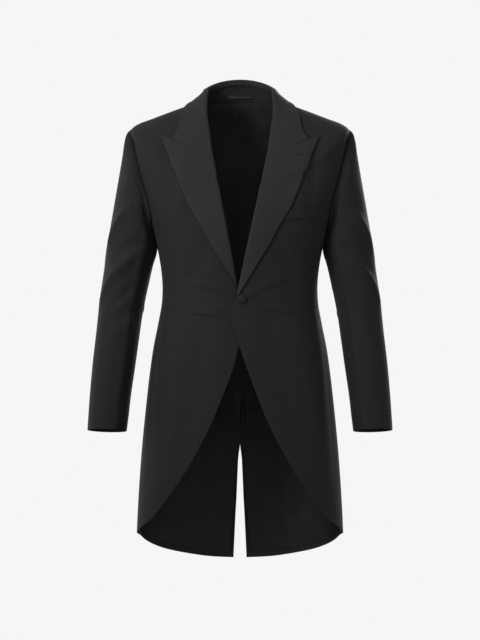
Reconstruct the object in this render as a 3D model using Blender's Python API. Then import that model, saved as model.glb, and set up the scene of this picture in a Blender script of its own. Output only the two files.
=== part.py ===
"""A man's morning coat in black worsted, filled out as if worn, with nobody in it.

The coat hangs on one smooth form: rings round the chest, waist and skirt, each with its own
width and depth. Every panel is a patch of that form between its sewing lines, and is given the
thickness of the cloth. A place on the form is a turn, in degrees round from the centre front to
the centre back, and a level, the height of its ring at the side. The wearer's left is +X, the
front faces -Y, and the origin is at the base of the neck. Lengths are in millimetres until a
panel is made, where MM turns them into metres.
"""

import math

import bmesh
import bpy
import numpy as np

MM = 0.001

# Cloth
CLOTH_WALL = 2.0
LINING_WALL = 1.0
SEAM_GAP = 0.3
LINING_CLEARANCE = 2.4
LINING_MARGIN = 8.0

# Roll of the lapels and the collar: the cloth turns over the edge of what it lies on
ROLL_INNER_RADIUS = 1.9
ROLL_RADIUS = ROLL_INNER_RADIUS + CLOTH_WALL
ROLL_CENTRE = -CLOTH_WALL / 2
ROLL_STEPS = 3
FACING_RETURN = 8.0
ROLL_BREAK = -415.0
ROLL_BREAK_LENGTH = 24.0
NOTCH_OPENING = 1.0
STAND_LEAST = 4.0
STAND_GAP = 0.7
STAND_SLANT = 3.0
LAPEL_SHARE = 0.985
LAPEL_STAND_OFF = 1.2
COLLAR_STAND_OFF = 2.2
STAND_OFF_RISE = 0.7

# Left front over right front
LAP_DEPTH = 3.0
LAP_FULL_AT = 14.0
LAP_FADES_BY = 70.0
LAP_TOP = -300.0
LAP_BOTTOM = -610.0
LAP_EASE = 70.0

# Levels and places shared by several pieces
CREST_LEVEL = 42.0
CREST_TURNS = (180, 160, 140, 120, 100, 85)
NECK_SEAM_LEVEL = 18.0
SHOULDER_TURN = 96.0
FALL_EDGE_LEVEL = 11.0
FALL_SIDE_LEVEL = 7.5
FINE_STEPS = 240
BETWEEN_ROWS = 4
ROLL_LENGTHS = 60
VENT_TOP = -732.0

# Armhole, an egg shape in turn and level
ARMHOLE_TOP = -43.0
ARMHOLE_BOTTOM = -262.0
ARMHOLE_TOP_TURN = SHOULDER_TURN
ARMHOLE_BOTTOM_TURN = 88.0
ARMHOLE_FRONT_BULGE = 25.0
ARMHOLE_BACK_BULGE = 21.0
ARMHOLE_STEPS = 24
FRONT_SEAM_STEP = 11
BACK_SEAM_STEP = 17

# Sleeve seams, in armhole steps from the shoulder round the front
FOREARM_SEAM_STEP = 9
HINDARM_SEAM_STEP = BACK_SEAM_STEP
SLEEVE_RINGS = 16
ARMHOLE_GAP = 0.6
ARMHOLE_REACH = 6.0
RING_PITCH = 46.0
DEGREE_PITCH = 0.9
FOLD_END = 0.15

# Small pieces
BUTTON_SIDES = 20
BUTTON_X = 5.5
BUTTON_Z = -412.0
WELT_WALL = 1.2
WELT_CLEARANCE = 0.5
WELT_COLUMNS = 8
LOOP_WALL = 1.2
LOOP_CLEARANCE = 0.5
LOOP_SLACK = 3.0
LOOP_COLUMNS = 8
LOOP_HALF_TURN = 17.0
LOOP_LEVELS = (22.5, 25.5)


def table(columns, rows):
    """Rows of numbers as one array for each named column."""
    names = columns.split()
    return {name: np.array([row[i] for row in rows], float) for i, name in enumerate(names)}


# The form, from the crest of the collar down past the hem
BODY = table(
    "level half_width front_depth back_depth front_drop back_rise fullness",
    (
        (42, 73, 56, 48, -48, 27, 0.12),
        (30, 80, 60, 54, -55, 14, 0.12),
        (18, 92.5, 67, 59, -63, 0, 0.12),
        (7, 108, 75, 66, -72, -5, 0.12),
        (-1, 129, 83, 72, -80, -8, 0.12),
        (-9, 151, 90, 77, -88, -11, 0.12),
        (-22, 185, 99, 84, -99, -16, 0.12),
        (-34, 217, 106, 90, -109, -23, 0.12),
        (-43, 231, 111, 94, -115, -30, 0.12),
        (-70, 231, 116, 99, -110, -33, 0.12),
        (-100, 229, 120, 103, -100, -32, 0.12),
        (-152, 220, 125, 107, -75, -28, 0.12),
        (-200, 206, 127, 107, -50, -22, 0.12),
        (-240, 193.5, 127.5, 105, -30, -17, 0.12),
        (-262, 187.5, 127, 102, -22, -14, 0.12),
        (-285, 181.5, 126, 99, -15, -10, 0.12),
        (-307, 176.5, 124.5, 95, -9, -7, 0.11),
        (-337, 171, 122, 87, -4, -4, 0.10),
        (-390, 166.6, 118, 79, 0, 0, 0.10),
        (-418, 168, 118, 78.5, 0, 0, 0.10),
        (-464, 176, 119.5, 82.5, 0, 0, 0.10),
        (-520, 187, 122, 91.5, 0, 0, 0.10),
        (-570, 194, 123.5, 99.5, 0, 0, 0.10),
        (-640, 202, 125, 107.5, 0, 0, 0.10),
        (-710, 209, 126, 113.5, 0, 0, 0.11),
        (-800, 216, 127, 119, 0, 0, 0.12),
        (-914, 222, 128, 124, 0, 0, 0.12),
        (-1000, 224, 128, 127, 0, 0, 0.12),
    ),
)

# Sewing lines as seen straight from the front, on the wearer's left or right half alike:
# x is the distance from the centre, z the height
ROLL_LINE = table("x z", ((69.8, 33), (69.5, -16), (65, -48), (57.6, -101)))
LEFT_EDGE = table(
    "x z",
    ((47.7, -147), (25.1, -252), (5, -345), (-4, -387), (-9.7, -415), (-18.5, -431), (-18, -450)),
)
RIGHT_EDGE = table(
    "x z",
    ((49, -147), (29.3, -252), (11.9, -345), (4, -386), (-5, -410), (-14, -431), (-15, -450)),
)
LAPEL_END_ROW = 3
LEFT_SKIRT_EDGE = table("x z", ((-18, -450), (-13, -474), (-3, -506)))
RIGHT_SKIRT_EDGE = table("x z", ((-15, -450), (-10, -480), (0, -506)))
CUTAWAY = table(
    "x z",
    ((16, -561), (40, -624), (66, -685), (90, -731), (118, -779), (150, -826), (187, -874)),
)
LAPEL_EDGE = table(
    "x z",
    ((167, -66), (160.5, -85), (145.3, -125), (125.4, -172), (93.5, -239), (64.7, -290), (37.5, -335)),
)
LEFT_LAPEL_END = table("x z", ((17, -368), (4.5, -388)))
RIGHT_LAPEL_END = table("x z", ((19, -364), (12.5, -376)))
COLLAR_FRONT_EDGE = table("x z", ((124, -17), (131, -54)))
GORGE_ROW = 3
NOTCH_SHARE = 0.77

# Seams on the back, as seen straight from behind
SIDE_BACK_SEAM = table("x z", ((174, -238), (130, -292), (90, -345), (66, -390)))
SIDE_BACK_SKIRT_SEAM = table("x z", ((66, -500), (78, -650), (90, -800), (104, -973.5)))
VENT_EDGE = table("x z", ((3.3, -757), (5.5, -797), (7.8, -850), (10, -889), (14.4, -982)))
SKIRT_HEM = table("x z", ((217, -922), (204.5, -937), (172, -956), (131, -968), (104, -973.5)))
BACK_HEM = table("x z", ((104, -973.5), (80, -977.5), (48, -980.5), (14.4, -982)))

# Seams round the body, in turn and level
WAIST_SEAM = table(
    "turn level",
    ((-7, -450), (15, -449.5), (35, -444), (58, -435), (84, -429), (125, -421), (160, -417)),
)
SIDE_SEAM = table("turn level", ((84, -429), (83, -340)))
CUTAWAY_CORNER = (86.0, -912.0)

# Rows and columns of the panels
SIDE_ROWS = 7
SKIRT_ROWS = 12
SHOULDER_ROWS = 6
FOREPART_COLUMNS = 8
SIDE_BODY_COLUMNS = BACK_SEAM_STEP - FRONT_SEAM_STEP
BACK_COLUMNS = 6
COLLAR_STATIONS = 18
LAPEL_STATIONS = 16
COLLAR_ACROSS = 4
LAPEL_ACROSS = 5

# The sleeve, a row for each ring: the points furthest out and in, then front to back
SLEEVE = table(
    "outer_x outer_z inner_x inner_z centre_y depth front_lift",
    (
        (231, -43, 187, -262, -6, 106, 0),
        (241, -52, 188, -267, -5, 110, 0),
        (247.5, -72, 187, -273, -4, 113, 0),
        (252, -100, 185.5, -281, -2, 116, 0),
        (258, -135, 183.5, -291, 0, 119, 0),
        (265, -175, 180.8, -304, 2, 121, 0),
        (272.5, -218, 183, -322, 4, 122, 0),
        (280, -262, 188.6, -344, 6, 121, 0),
        (287, -310, 195.5, -374, 8, 118, 0),
        (295, -362, 203, -408, 9, 114, 0),
        (303, -420, 210.5, -448, 7, 109, 0.5),
        (309, -480, 217, -496, 1, 104, 2),
        (316, -545, 225, -556, -7, 100, 4),
        (321, -606, 233, -613, -15, 97, 5.5),
        (324, -655, 238, -660, -22, 95, 6.3),
        (326, -691, 242, -693, -27, 93, 6.5),
    ),
)

# The largest folds of the sleeve, a row for each, in rings down and degrees round
SLEEVE_FOLDS = table(
    "ring_start around_start ring_end around_end width height",
    (
        (5.6, 62, 8.2, 8, 26, 3.5),
        (7.4, 100, 9.9, 18, 24, 3.0),
        (9.6, 150, 10.6, 60, 22, -3.5),
        (10.8, 330, 9.8, 250, 24, 3.0),
    ),
)

BREAST_WELT = table("x z", ((100, -226), (178, -213), (176, -236), (92, -249)))

BUTTON_PROFILE = table(
    "radius height", ((8.2, 0), (9.7, 1), (10, 2.2), (9.2, 3.5), (6.5, 4.4), (2.5, 4.7))
)

COLOURS = {
    "cloth": (0.018, 0.018, 0.020),
    "lapel": (0.022, 0.022, 0.024),
    "lining": (0.008, 0.008, 0.009),
    "button": (0.016, 0.016, 0.018),
}


def clear_scene():
    for thing in list(bpy.data.objects):
        bpy.data.objects.remove(thing, do_unlink=True)


def smooth_between(places, values, at):
    """A smooth line through the rows of a table."""
    places = np.asarray(places, float)
    values = np.asarray(values, float)
    if places[0] > places[-1]:
        places, values = places[::-1], values[::-1]
    gaps = np.diff(places)
    rises = np.diff(values) / gaps
    slopes = np.concatenate([rises[:1], rises])
    slopes[1:-1] = (gaps[:-1] * rises[1:] + gaps[1:] * rises[:-1]) / (gaps[:-1] + gaps[1:])
    at = np.clip(np.asarray(at, float), places[0], places[-1])
    i = np.clip(np.searchsorted(places, at) - 1, 0, len(gaps) - 1)
    t = (at - places[i]) / gaps[i]
    return (
        (2 * t**3 - 3 * t**2 + 1) * values[i]
        + (t**3 - 2 * t**2 + t) * gaps[i] * slopes[i]
        + (3 * t**2 - 2 * t**3) * values[i + 1]
        + (t**3 - t**2) * gaps[i] * slopes[i + 1]
    )


def ease(share):
    """0 to 1 with no corner at either end."""
    share = np.clip(share, 0.0, 1.0)
    return share * share * (3 - 2 * share)


def ring_size(column, level):
    return smooth_between(BODY["level"], BODY[column], level)


def bare_form(turn, level):
    """The point of the form at a turn and a level, on the half where x is positive."""
    turn = np.radians(np.asarray(turn, float))
    level = np.asarray(level, float)
    side, ahead = np.sin(turn), np.cos(turn)
    fullness = ring_size("fullness", level)
    in_front = ahead > 0
    depth = np.where(in_front, ring_size("front_depth", level), ring_size("back_depth", level))
    tilt = np.where(
        in_front,
        ring_size("front_drop", level) * ahead**2,
        ring_size("back_rise", level) * np.abs(ahead) ** 1.5,
    )
    x = ring_size("half_width", level) * side * (1 + fullness * ahead**2)
    y = -depth * ahead * (1 + fullness * side**2)
    return np.stack([x, y, level + tilt], axis=-1)


def unit(vectors):
    return vectors / np.maximum(np.linalg.norm(vectors, axis=-1, keepdims=True), 1e-9)


def form_slopes(turn, level):
    """How the point moves with a degree of turn, and with a millimetre of level."""
    small = 0.05
    along_turn = (bare_form(turn + small, level) - bare_form(turn - small, level)) / (2 * small)
    along_level = (bare_form(turn, level + small) - bare_form(turn, level - small)) / (2 * small)
    return along_turn, along_level


def lap_shift(point):
    """How far the overlap pushes a front in or out, as a share of the lap's depth."""
    across = 1 - ease((point[..., 0] - LAP_FULL_AT) / (LAP_FADES_BY - LAP_FULL_AT))
    down = ease((LAP_TOP - point[..., 2]) / LAP_EASE) * ease((point[..., 2] - LAP_BOTTOM) / LAP_EASE)
    return across * down * (point[..., 1] < 0)


def on_form(turn, level, out=0.0, lap=0):
    """Points a distance out from the form; lap is 1 on the left front, -1 on the right one."""
    turn = np.asarray(turn, float)
    level = np.asarray(level, float)
    point = bare_form(turn, level)
    along_turn, along_level = form_slopes(turn, level)
    normal = unit(np.cross(along_turn, along_level))
    away = np.asarray(out, float) + lap * LAP_DEPTH * lap_shift(point)
    return point + normal * away[..., None], normal


def station(x, z, back=False):
    """The turn and level of the place seen at x and z from the front, or from behind."""
    x, z = float(x), float(z)
    level = z
    turn = 0.0
    for _ in range(200):
        share = x / float(ring_size("half_width", level))
        fullness = float(ring_size("fullness", level))
        sine = max(-1.0, min(1.0, share))
        for _ in range(8):
            sine = max(-1.0, min(1.0, share / (1 + fullness * (1 - sine * sine))))
        ahead = math.sqrt(1 - sine * sine)
        turn = math.degrees(math.asin(sine))
        tilt = (
            float(ring_size("back_rise", level)) * ahead**1.5
            if back
            else float(ring_size("front_drop", level)) * ahead**2
        )
        level += 0.4 * (z - tilt - level)
    return (180 - turn if back else turn, level)


def stations(line, back=False):
    return [station(x, z, back) for x, z in zip(line["x"], line["z"])]


def close_stations(*lines):
    """Stations of lines end to end, with a few more between each two rows."""
    x, z = (np.concatenate([line[name] for line in lines]) for name in ("x", "z"))
    reach = np.concatenate([[0], np.cumsum(np.hypot(np.diff(x), np.diff(z)))])
    rows = np.arange((len(x) - 1) * BETWEEN_ROWS + 1) / BETWEEN_ROWS
    at = np.interp(rows, np.arange(len(x)), reach)
    fine = {"x": smooth_between(reach, x, at), "z": smooth_between(reach, z, at)}
    return stations(fine)


def along(places, count, first=0, last=-1, start=0.0, end=1.0):
    """count + 1 places, evenly spaced on the form, on a smooth line through the given ones.

    first and last pick the given places that the stretch runs between, and start and end are
    shares of that stretch.
    """
    places = np.array(places, float)
    points = bare_form(places[:, 0], places[:, 1])
    reach = np.concatenate([[0], np.cumsum(np.linalg.norm(np.diff(points, axis=0), axis=1))])
    fine = np.linspace(reach[first], reach[last], FINE_STEPS)
    line = np.stack([smooth_between(reach, places[:, i], fine) for i in (0, 1)], axis=1)
    points = bare_form(line[:, 0], line[:, 1])
    real = np.concatenate([[0], np.cumsum(np.linalg.norm(np.diff(points, axis=0), axis=1))])
    wanted = np.linspace(start, end, count + 1) * real[-1]
    return np.stack([np.interp(wanted, real, line[:, i]) for i in (0, 1)], axis=1)


def joined(*lines):
    """Lines end to end, each one's last place being the next one's first."""
    return np.concatenate([lines[0]] + [line[1:] for line in lines[1:]])


def patch(left, right, bottom, top):
    """Places filling the space between four lines: rows from bottom to top, left to right."""
    up = np.linspace(0, 1, len(left))[:, None, None]
    over = np.linspace(0, 1, len(bottom))[None, :, None]
    corners = (
        (1 - up) * (1 - over) * bottom[0]
        + (1 - up) * over * bottom[-1]
        + up * (1 - over) * top[0]
        + up * over * top[-1]
    )
    between_sides = (1 - over) * left[:, None] + over * right[:, None]
    between_ends = (1 - up) * bottom[None] + up * top[None]
    return between_sides + between_ends - corners


def set_back(line, distance):
    """Places slid along the form, square to a line that runs down the left of the opening."""
    points, normal = on_form(line[:, 0], line[:, 1])
    square = unit(np.cross(normal, np.gradient(points, axis=0)))
    square *= np.reshape(distance, (-1, 1))
    along_turn, along_level = form_slopes(line[:, 0], line[:, 1])
    moved = []
    for place, a, b, step in zip(line, along_turn, along_level, square):
        share, *_ = np.linalg.lstsq(np.stack([a, b], axis=1), step, rcond=None)
        moved.append(place + share)
    return np.array(moved)


def material(name, colour, roughness):
    made = bpy.data.materials.new(name)
    made.use_nodes = True
    shader = made.node_tree.nodes["Principled BSDF"]
    shader.inputs["Base Color"].default_value = (*colour, 1.0)
    shader.inputs["Roughness"].default_value = roughness
    shader.inputs["Metallic"].default_value = 0.0
    return made


def drawn_in(outer, inner, sides, distance=SEAM_GAP / 2):
    """Both faces of a wall drawn in from its sides, half the gap between two pieces at a seam."""
    outer, inner = outer.copy(), inner.copy()
    first = outer.copy()
    edges = {
        "left": ((slice(None), 0), (slice(None), 1)),
        "right": ((slice(None), -1), (slice(None), -2)),
        "bottom": ((0, slice(None)), (1, slice(None))),
        "top": ((-1, slice(None)), (-2, slice(None))),
    }
    for side in sides:
        edge, next_in = edges[side]
        step = unit(first[next_in] - first[edge]) * distance
        outer[edge] += step
        inner[edge] += step
    return outer, inner


def wall(name, outer, inner, mirrored, finish):
    """One closed body between two grids of points, with a rim all round.

    Both sides of a seam split their rims along the same diagonals, so that they never cross.
    """
    rows, columns = outer.shape[:2]
    flip = -1 if mirrored else 1
    mesh = bpy.data.meshes.new(name)
    shape = bmesh.new()
    faces_of = []
    for grid in (outer, inner):
        faces_of.append(
            [[shape.verts.new((flip * p[0] * MM, p[1] * MM, p[2] * MM)) for p in row] for row in grid]
        )
    out, back = faces_of
    for r in range(rows - 1):
        for c in range(columns - 1):
            shape.faces.new((out[r][c], out[r][c + 1], out[r + 1][c + 1], out[r + 1][c]))
            shape.faces.new((back[r][c], back[r + 1][c], back[r + 1][c + 1], back[r][c + 1]))
    rim = (
        [(0, c) for c in range(columns)]
        + [(r, columns - 1) for r in range(1, rows)]
        + [(rows - 1, c) for c in range(columns - 2, -1, -1)]
        + [(r, 0) for r in range(rows - 2, 0, -1)]
    )
    for (r, c), (s, d) in zip(rim, rim[1:] + rim[:1]):
        if (r, c) < (s, d):
            shape.faces.new((out[r][c], back[r][c], back[s][d]))
            shape.faces.new((out[r][c], back[s][d], out[s][d]))
        else:
            shape.faces.new((out[r][c], back[r][c], out[s][d]))
            shape.faces.new((back[r][c], back[s][d], out[s][d]))
    bmesh.ops.recalc_face_normals(shape, faces=shape.faces)
    shape.to_mesh(mesh)
    shape.free()
    mesh.materials.append(finish)
    mesh.shade_smooth()
    mesh.set_sharp_from_angle(angle=math.radians(50))
    thing = bpy.data.objects.new(name, mesh)
    bpy.context.collection.objects.link(thing)
    return thing


def panel(name, places, mirrored, finish, lap=0, sides=("left", "right", "bottom", "top")):
    """A cloth panel over the places of a patch."""
    outer, normal = on_form(places[..., 0], places[..., 1], 0.0, lap)
    inner = outer - normal * CLOTH_WALL
    outer, inner = drawn_in(outer, inner, sides)
    return wall(name, outer, inner, mirrored, finish)


def lining(name, places, mirrored, finish, free_sides, lap=0):
    """A lining inside a panel, that stops short of the panel's free sides."""
    outer, normal = on_form(places[..., 0], places[..., 1], -CLOTH_WALL - LINING_CLEARANCE, lap)
    inner = outer - normal * LINING_WALL
    for side in ("left", "right", "bottom", "top"):
        distance = LINING_MARGIN if side in free_sides else SEAM_GAP
        outer, inner = drawn_in(outer, inner, (side,), distance)
    return wall(name, outer, inner, mirrored, finish)


def armhole_places(first, last):
    """Places on the armhole from one step to another, from the shoulder round the front."""
    turns, levels = [], []
    middle = (ARMHOLE_TOP + ARMHOLE_BOTTOM) / 2
    half = (ARMHOLE_TOP - ARMHOLE_BOTTOM) / 2
    for step in range(first, last + 1):
        angle = 2 * math.pi * step / ARMHOLE_STEPS
        base = (ARMHOLE_TOP_TURN + ARMHOLE_BOTTOM_TURN) / 2
        base += (ARMHOLE_TOP_TURN - ARMHOLE_BOTTOM_TURN) / 2 * math.cos(angle)
        bulge = ARMHOLE_FRONT_BULGE if math.sin(angle) > 0 else ARMHOLE_BACK_BULGE
        turns.append(base - bulge * math.sin(angle))
        levels.append(middle + half * math.cos(angle))
    return np.stack([turns, levels], axis=1)


def roll_stations(edge):
    """The edge of collar, lapel and front: from the centre back, round the neck to the waist."""
    crest = [(turn, CREST_LEVEL) for turn in CREST_TURNS]
    return crest + close_stations(ROLL_LINE, edge)


def collar_roll_places():
    """The edge of the collar, from the centre back to the gorge seam."""
    gorge = len(CREST_TURNS) + GORGE_ROW * BETWEEN_ROWS
    return along(roll_stations(LEFT_EDGE), COLLAR_STATIONS, 0, gorge)


def lapel_roll_places(edge):
    """The edge of a lapel, from the gorge seam to where it ends above the button."""
    gorge = len(CREST_TURNS) + GORGE_ROW * BETWEEN_ROWS
    end = len(CREST_TURNS) + (len(ROLL_LINE["x"]) + LAPEL_END_ROW) * BETWEEN_ROWS
    return along(roll_stations(edge), LAPEL_STATIONS, gorge, end, 0.0, LAPEL_SHARE)


def gorge_corner():
    """Where the end of the collar meets the lapel's edge."""
    inner = np.array(station(ROLL_LINE["x"][GORGE_ROW], ROLL_LINE["z"][GORGE_ROW]))
    tip = np.array(station(LAPEL_EDGE["x"][0], LAPEL_EDGE["z"][0]))
    return tuple(inner + (tip - inner) * NOTCH_SHARE)


def turned_over(roll, edge, across, stand_off, lap):
    """Two faces of a collar or lapel: out along the form, round the roll and a little way back."""
    seam = set_back(roll, ROLL_RADIUS)
    base, normal = on_form(seam[:, 0], seam[:, 1], 0.0, lap)
    ahead, _ = on_form(roll[:, 0], roll[:, 1], 0.0, lap)
    forward = ahead - base
    forward = unit(forward - normal * np.sum(forward * normal, axis=1, keepdims=True))
    centre = base + normal * ROLL_CENTRE
    faces = []
    for radius in (ROLL_RADIUS, ROLL_INNER_RADIUS):
        face = []
        for share in np.linspace(1, 0, across + 1):
            place = seam + (edge - seam) * share
            out = ROLL_CENTRE + radius + stand_off * share**STAND_OFF_RISE
            face.append(on_form(place[:, 0], place[:, 1], out, lap)[0])
        for step in range(1, ROLL_STEPS + 1):
            angle = math.pi / 2 - math.pi * step / ROLL_STEPS
            turned = forward * math.cos(angle) + normal * math.sin(angle)
            face.append(centre + turned * radius)
        face.append(centre - normal * radius - forward * FACING_RETURN)
        faces.append(np.stack(face, axis=1))
    return faces


def collar_edge_places():
    """The outer edge of the fall, from the centre back to the notch."""
    back = [(turn, FALL_EDGE_LEVEL) for turn in (180, 155, 130, 105)]
    front = [(90, FALL_SIDE_LEVEL)] + stations(COLLAR_FRONT_EDGE) + [gorge_corner()]
    return along(back + front, COLLAR_STATIONS)


def neck_front_place():
    """Where the neck seam ends under the roll of the collar."""
    seam = set_back(collar_roll_places(), ROLL_RADIUS)
    falling = seam[seam[:, 1] < (CREST_LEVEL + NECK_SEAM_LEVEL) / 2][::-1]
    return (float(smooth_between(falling[:, 1], falling[:, 0], NECK_SEAM_LEVEL)), NECK_SEAM_LEVEL)


def waist_places(first, last, count):
    """The waist seam between two turns."""
    turns = np.linspace(first, last, count + 1)
    levels = smooth_between(WAIST_SEAM["turn"], WAIST_SEAM["level"], turns)
    return np.stack([turns, levels], axis=1)


def side_seam_places():
    """The seam under the arm, from the waist up to the armhole."""
    rows = list(zip(SIDE_SEAM["turn"], SIDE_SEAM["level"]))
    top = armhole_places(FRONT_SEAM_STEP, FRONT_SEAM_STEP)[0]
    waist = waist_places(rows[0][0], rows[0][0], 1)[0]
    return along([tuple(waist)] + rows[1:] + [tuple(top)], SIDE_ROWS)


def side_back_waist():
    turn = WAIST_SEAM["turn"][-1]
    return tuple(waist_places(turn, turn, 1)[0])


def side_back_stations():
    """The seam beside the back in one line, from the hem up to the armhole."""
    above = stations(SIDE_BACK_SEAM, back=True)[::-1]
    below = stations(SIDE_BACK_SKIRT_SEAM, back=True)[::-1]
    return below + [side_back_waist()] + above + [tuple(armhole_places(BACK_SEAM_STEP, BACK_SEAM_STEP)[0])]


def side_back_places():
    """The curved seam of the back, from the waist up to the armhole."""
    return along(side_back_stations(), SIDE_ROWS, len(SIDE_BACK_SKIRT_SEAM["x"]), -1)


def side_back_skirt_places():
    """The seam between skirt and tail, from the hem up to the waist."""
    return along(side_back_stations(), SKIRT_ROWS, 0, len(SIDE_BACK_SKIRT_SEAM["x"]))


def shoulder_places():
    """The shoulder seam, from the sleeve head up to the neck."""
    return along([(SHOULDER_TURN, ARMHOLE_TOP), (SHOULDER_TURN, NECK_SEAM_LEVEL)], SHOULDER_ROWS)


def neck_places(turns, columns):
    """The neck seam through a few turns."""
    return along([(turn, NECK_SEAM_LEVEL) for turn in turns], columns)


def forepart_places(edge):
    """The chest, from the waist seam to the shoulder and from the front edge to under the arm."""
    armhole = armhole_places(0, FRONT_SEAM_STEP)[::-1]
    right = joined(side_seam_places(), armhole, shoulder_places())
    front = neck_front_place()
    top = neck_places((front[0], (front[0] + SHOULDER_TURN) / 2, SHOULDER_TURN), FOREPART_COLUMNS)
    line = along(roll_stations(edge), ROLL_LENGTHS, len(CREST_TURNS), -1)
    height = bare_form(line[:, 0], line[:, 1])[:, 2]
    seam = set_back(line, ROLL_RADIUS * ease((height - ROLL_BREAK) / ROLL_BREAK_LENGTH))
    seam = np.concatenate([top[:1], seam[seam[:, 1] < NECK_SEAM_LEVEL - 1]])
    left = along(seam, len(right) - 1)[::-1]
    bottom = waist_places(left[0][0], right[0][0], FOREPART_COLUMNS)
    left[0] = bottom[0]
    return patch(left, right, bottom, top)


def side_body_places():
    """Under the arm, from the waist seam to the bottom of the armhole."""
    left, right = side_seam_places(), side_back_places()
    bottom = waist_places(left[0][0], right[0][0], SIDE_BODY_COLUMNS)
    return patch(left, right, bottom, armhole_places(FRONT_SEAM_STEP, BACK_SEAM_STEP))


def skirt_places(edge, skirt_edge):
    """From the waist seam to the hem, and from the cutaway edge round to the back."""
    start = forepart_places(edge)[0]
    side = waist_places(SIDE_SEAM["turn"][0], WAIST_SEAM["turn"][-1], SIDE_BODY_COLUMNS)
    top = joined(start, side)
    front = [tuple(top[0])] + stations(skirt_edge)[1:] + stations(CUTAWAY) + [CUTAWAY_CORNER]
    left = along(front, SKIRT_ROWS)[::-1]
    bottom = along([CUTAWAY_CORNER] + stations(SKIRT_HEM, back=True), len(top) - 1)
    return patch(left, side_back_skirt_places(), bottom, top)


def back_places():
    """From the neck to the hem, with the centre seam open below the top of the vent."""
    armhole = armhole_places(BACK_SEAM_STEP, ARMHOLE_STEPS)
    left = joined(side_back_skirt_places(), side_back_places(), armhole, shoulder_places())
    vent = stations(VENT_EDGE, back=True)[::-1]
    centre = vent + [(180, VENT_TOP), (180, -390), (180, NECK_SEAM_LEVEL)]
    right = along(centre, len(left) - 1)
    right[:, 0] = np.minimum(right[:, 0], 180)
    bottom = along(stations(BACK_HEM, back=True), BACK_COLUMNS)
    return patch(left, right, bottom, neck_places((SHOULDER_TURN, 140, 180), BACK_COLUMNS))


def whole_from_half(half):
    """Rows of points for both halves, from one half whose first row lies on the centre."""
    other = half[:0:-1].copy()
    other[..., 0] *= -1
    middle = half[0].copy()
    middle[..., 0] = 0
    return np.concatenate([other, middle[None], half[1:]])


def collar_fall(finish):
    """The outer leaf, over the neck seam from one notch round to the other."""
    edge = collar_edge_places()
    roll = collar_roll_places()
    outer, inner = turned_over(roll, edge, COLLAR_ACROSS, COLLAR_STAND_OFF, 0)
    back = unit(outer[-2] - outer[-1])
    opening = np.full(outer.shape[1], SEAM_GAP)
    opening[: COLLAR_ACROSS + 1] += NOTCH_OPENING * np.linspace(1, 0, COLLAR_ACROSS + 1)
    outer[-1] += back * opening[:, None]
    inner[-1] += back * opening[:, None]
    return wall("collar_fall", whole_from_half(outer), whole_from_half(inner), False, finish)


def collar_stand(finish):
    """The band inside the neck, from the neck seam up into the roll."""
    seam = set_back(collar_roll_places(), ROLL_RADIUS)
    top = np.array([place for place in seam if place[1] > NECK_SEAM_LEVEL + STAND_LEAST])
    end = top[-1][0] + STAND_SLANT
    bottom = neck_places((180, 140, SHOULDER_TURN, end), len(top) - 1)
    grid = np.stack([bottom + (top - bottom) * share for share in np.linspace(0, 1, 4)], axis=1)
    outer, normal = on_form(grid[..., 0], grid[..., 1])
    inner = outer - normal * CLOTH_WALL
    outer, inner = drawn_in(outer, inner, ("left",), STAND_GAP)
    return wall("collar_stand", whole_from_half(outer), whole_from_half(inner), False, finish)


def lapel(name, front, end, lap, mirrored, finish):
    """The turned front edge, from the gorge seam to a point above the button."""
    roll = lapel_roll_places(front)
    edge = along(stations(LAPEL_EDGE) + stations(end), LAPEL_STATIONS)
    outer, inner = turned_over(roll, edge, LAPEL_ACROSS, LAPEL_STAND_OFF, lap)
    outer, inner = drawn_in(outer, inner, ("bottom",))
    return wall(name, outer, inner, mirrored, finish)


def sleeve_rings(at):
    """Centre, outward reach and forward reach of the sleeve at rows of its table."""
    rows = np.arange(len(SLEEVE["depth"]))
    size = {name: smooth_between(rows, values, at) for name, values in SLEEVE.items()}
    none = np.zeros_like(size["depth"])
    outer = np.stack([size["outer_x"], none, size["outer_z"]], axis=-1)
    inner = np.stack([size["inner_x"], none, size["inner_z"]], axis=-1)
    centre = (outer + inner) / 2
    centre[..., 1] = size["centre_y"]
    forward = np.stack([none, -size["depth"] / 2, size["front_lift"]], axis=-1)
    return centre, (outer - inner) / 2, forward


def fold_height(ring, around):
    """The height of the sleeve's folds at a ring and at degrees round from its outer edge."""
    ring, around = np.broadcast_arrays(ring, around)
    total = np.zeros(ring.shape)
    for i in range(len(SLEEVE_FOLDS["width"])):
        fold = {name: values[i] for name, values in SLEEVE_FOLDS.items()}
        run = np.array([fold["ring_end"] - fold["ring_start"], fold["around_end"] - fold["around_start"]])
        run = run * np.array([RING_PITCH, DEGREE_PITCH])
        there = (around - fold["around_start"] + 180) % 360 - 180
        place = np.stack([(ring - fold["ring_start"]) * RING_PITCH, there * DEGREE_PITCH], axis=-1)
        share = np.clip(place @ run / (run @ run), 0, 1)
        away = np.linalg.norm(place - share[..., None] * run, axis=-1)
        across = np.exp(-((away / (fold["width"] / 2)) ** 2))
        total += fold["height"] * across * np.sin(np.pi * (FOLD_END + (1 - 2 * FOLD_END) * share))
    return total


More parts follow.
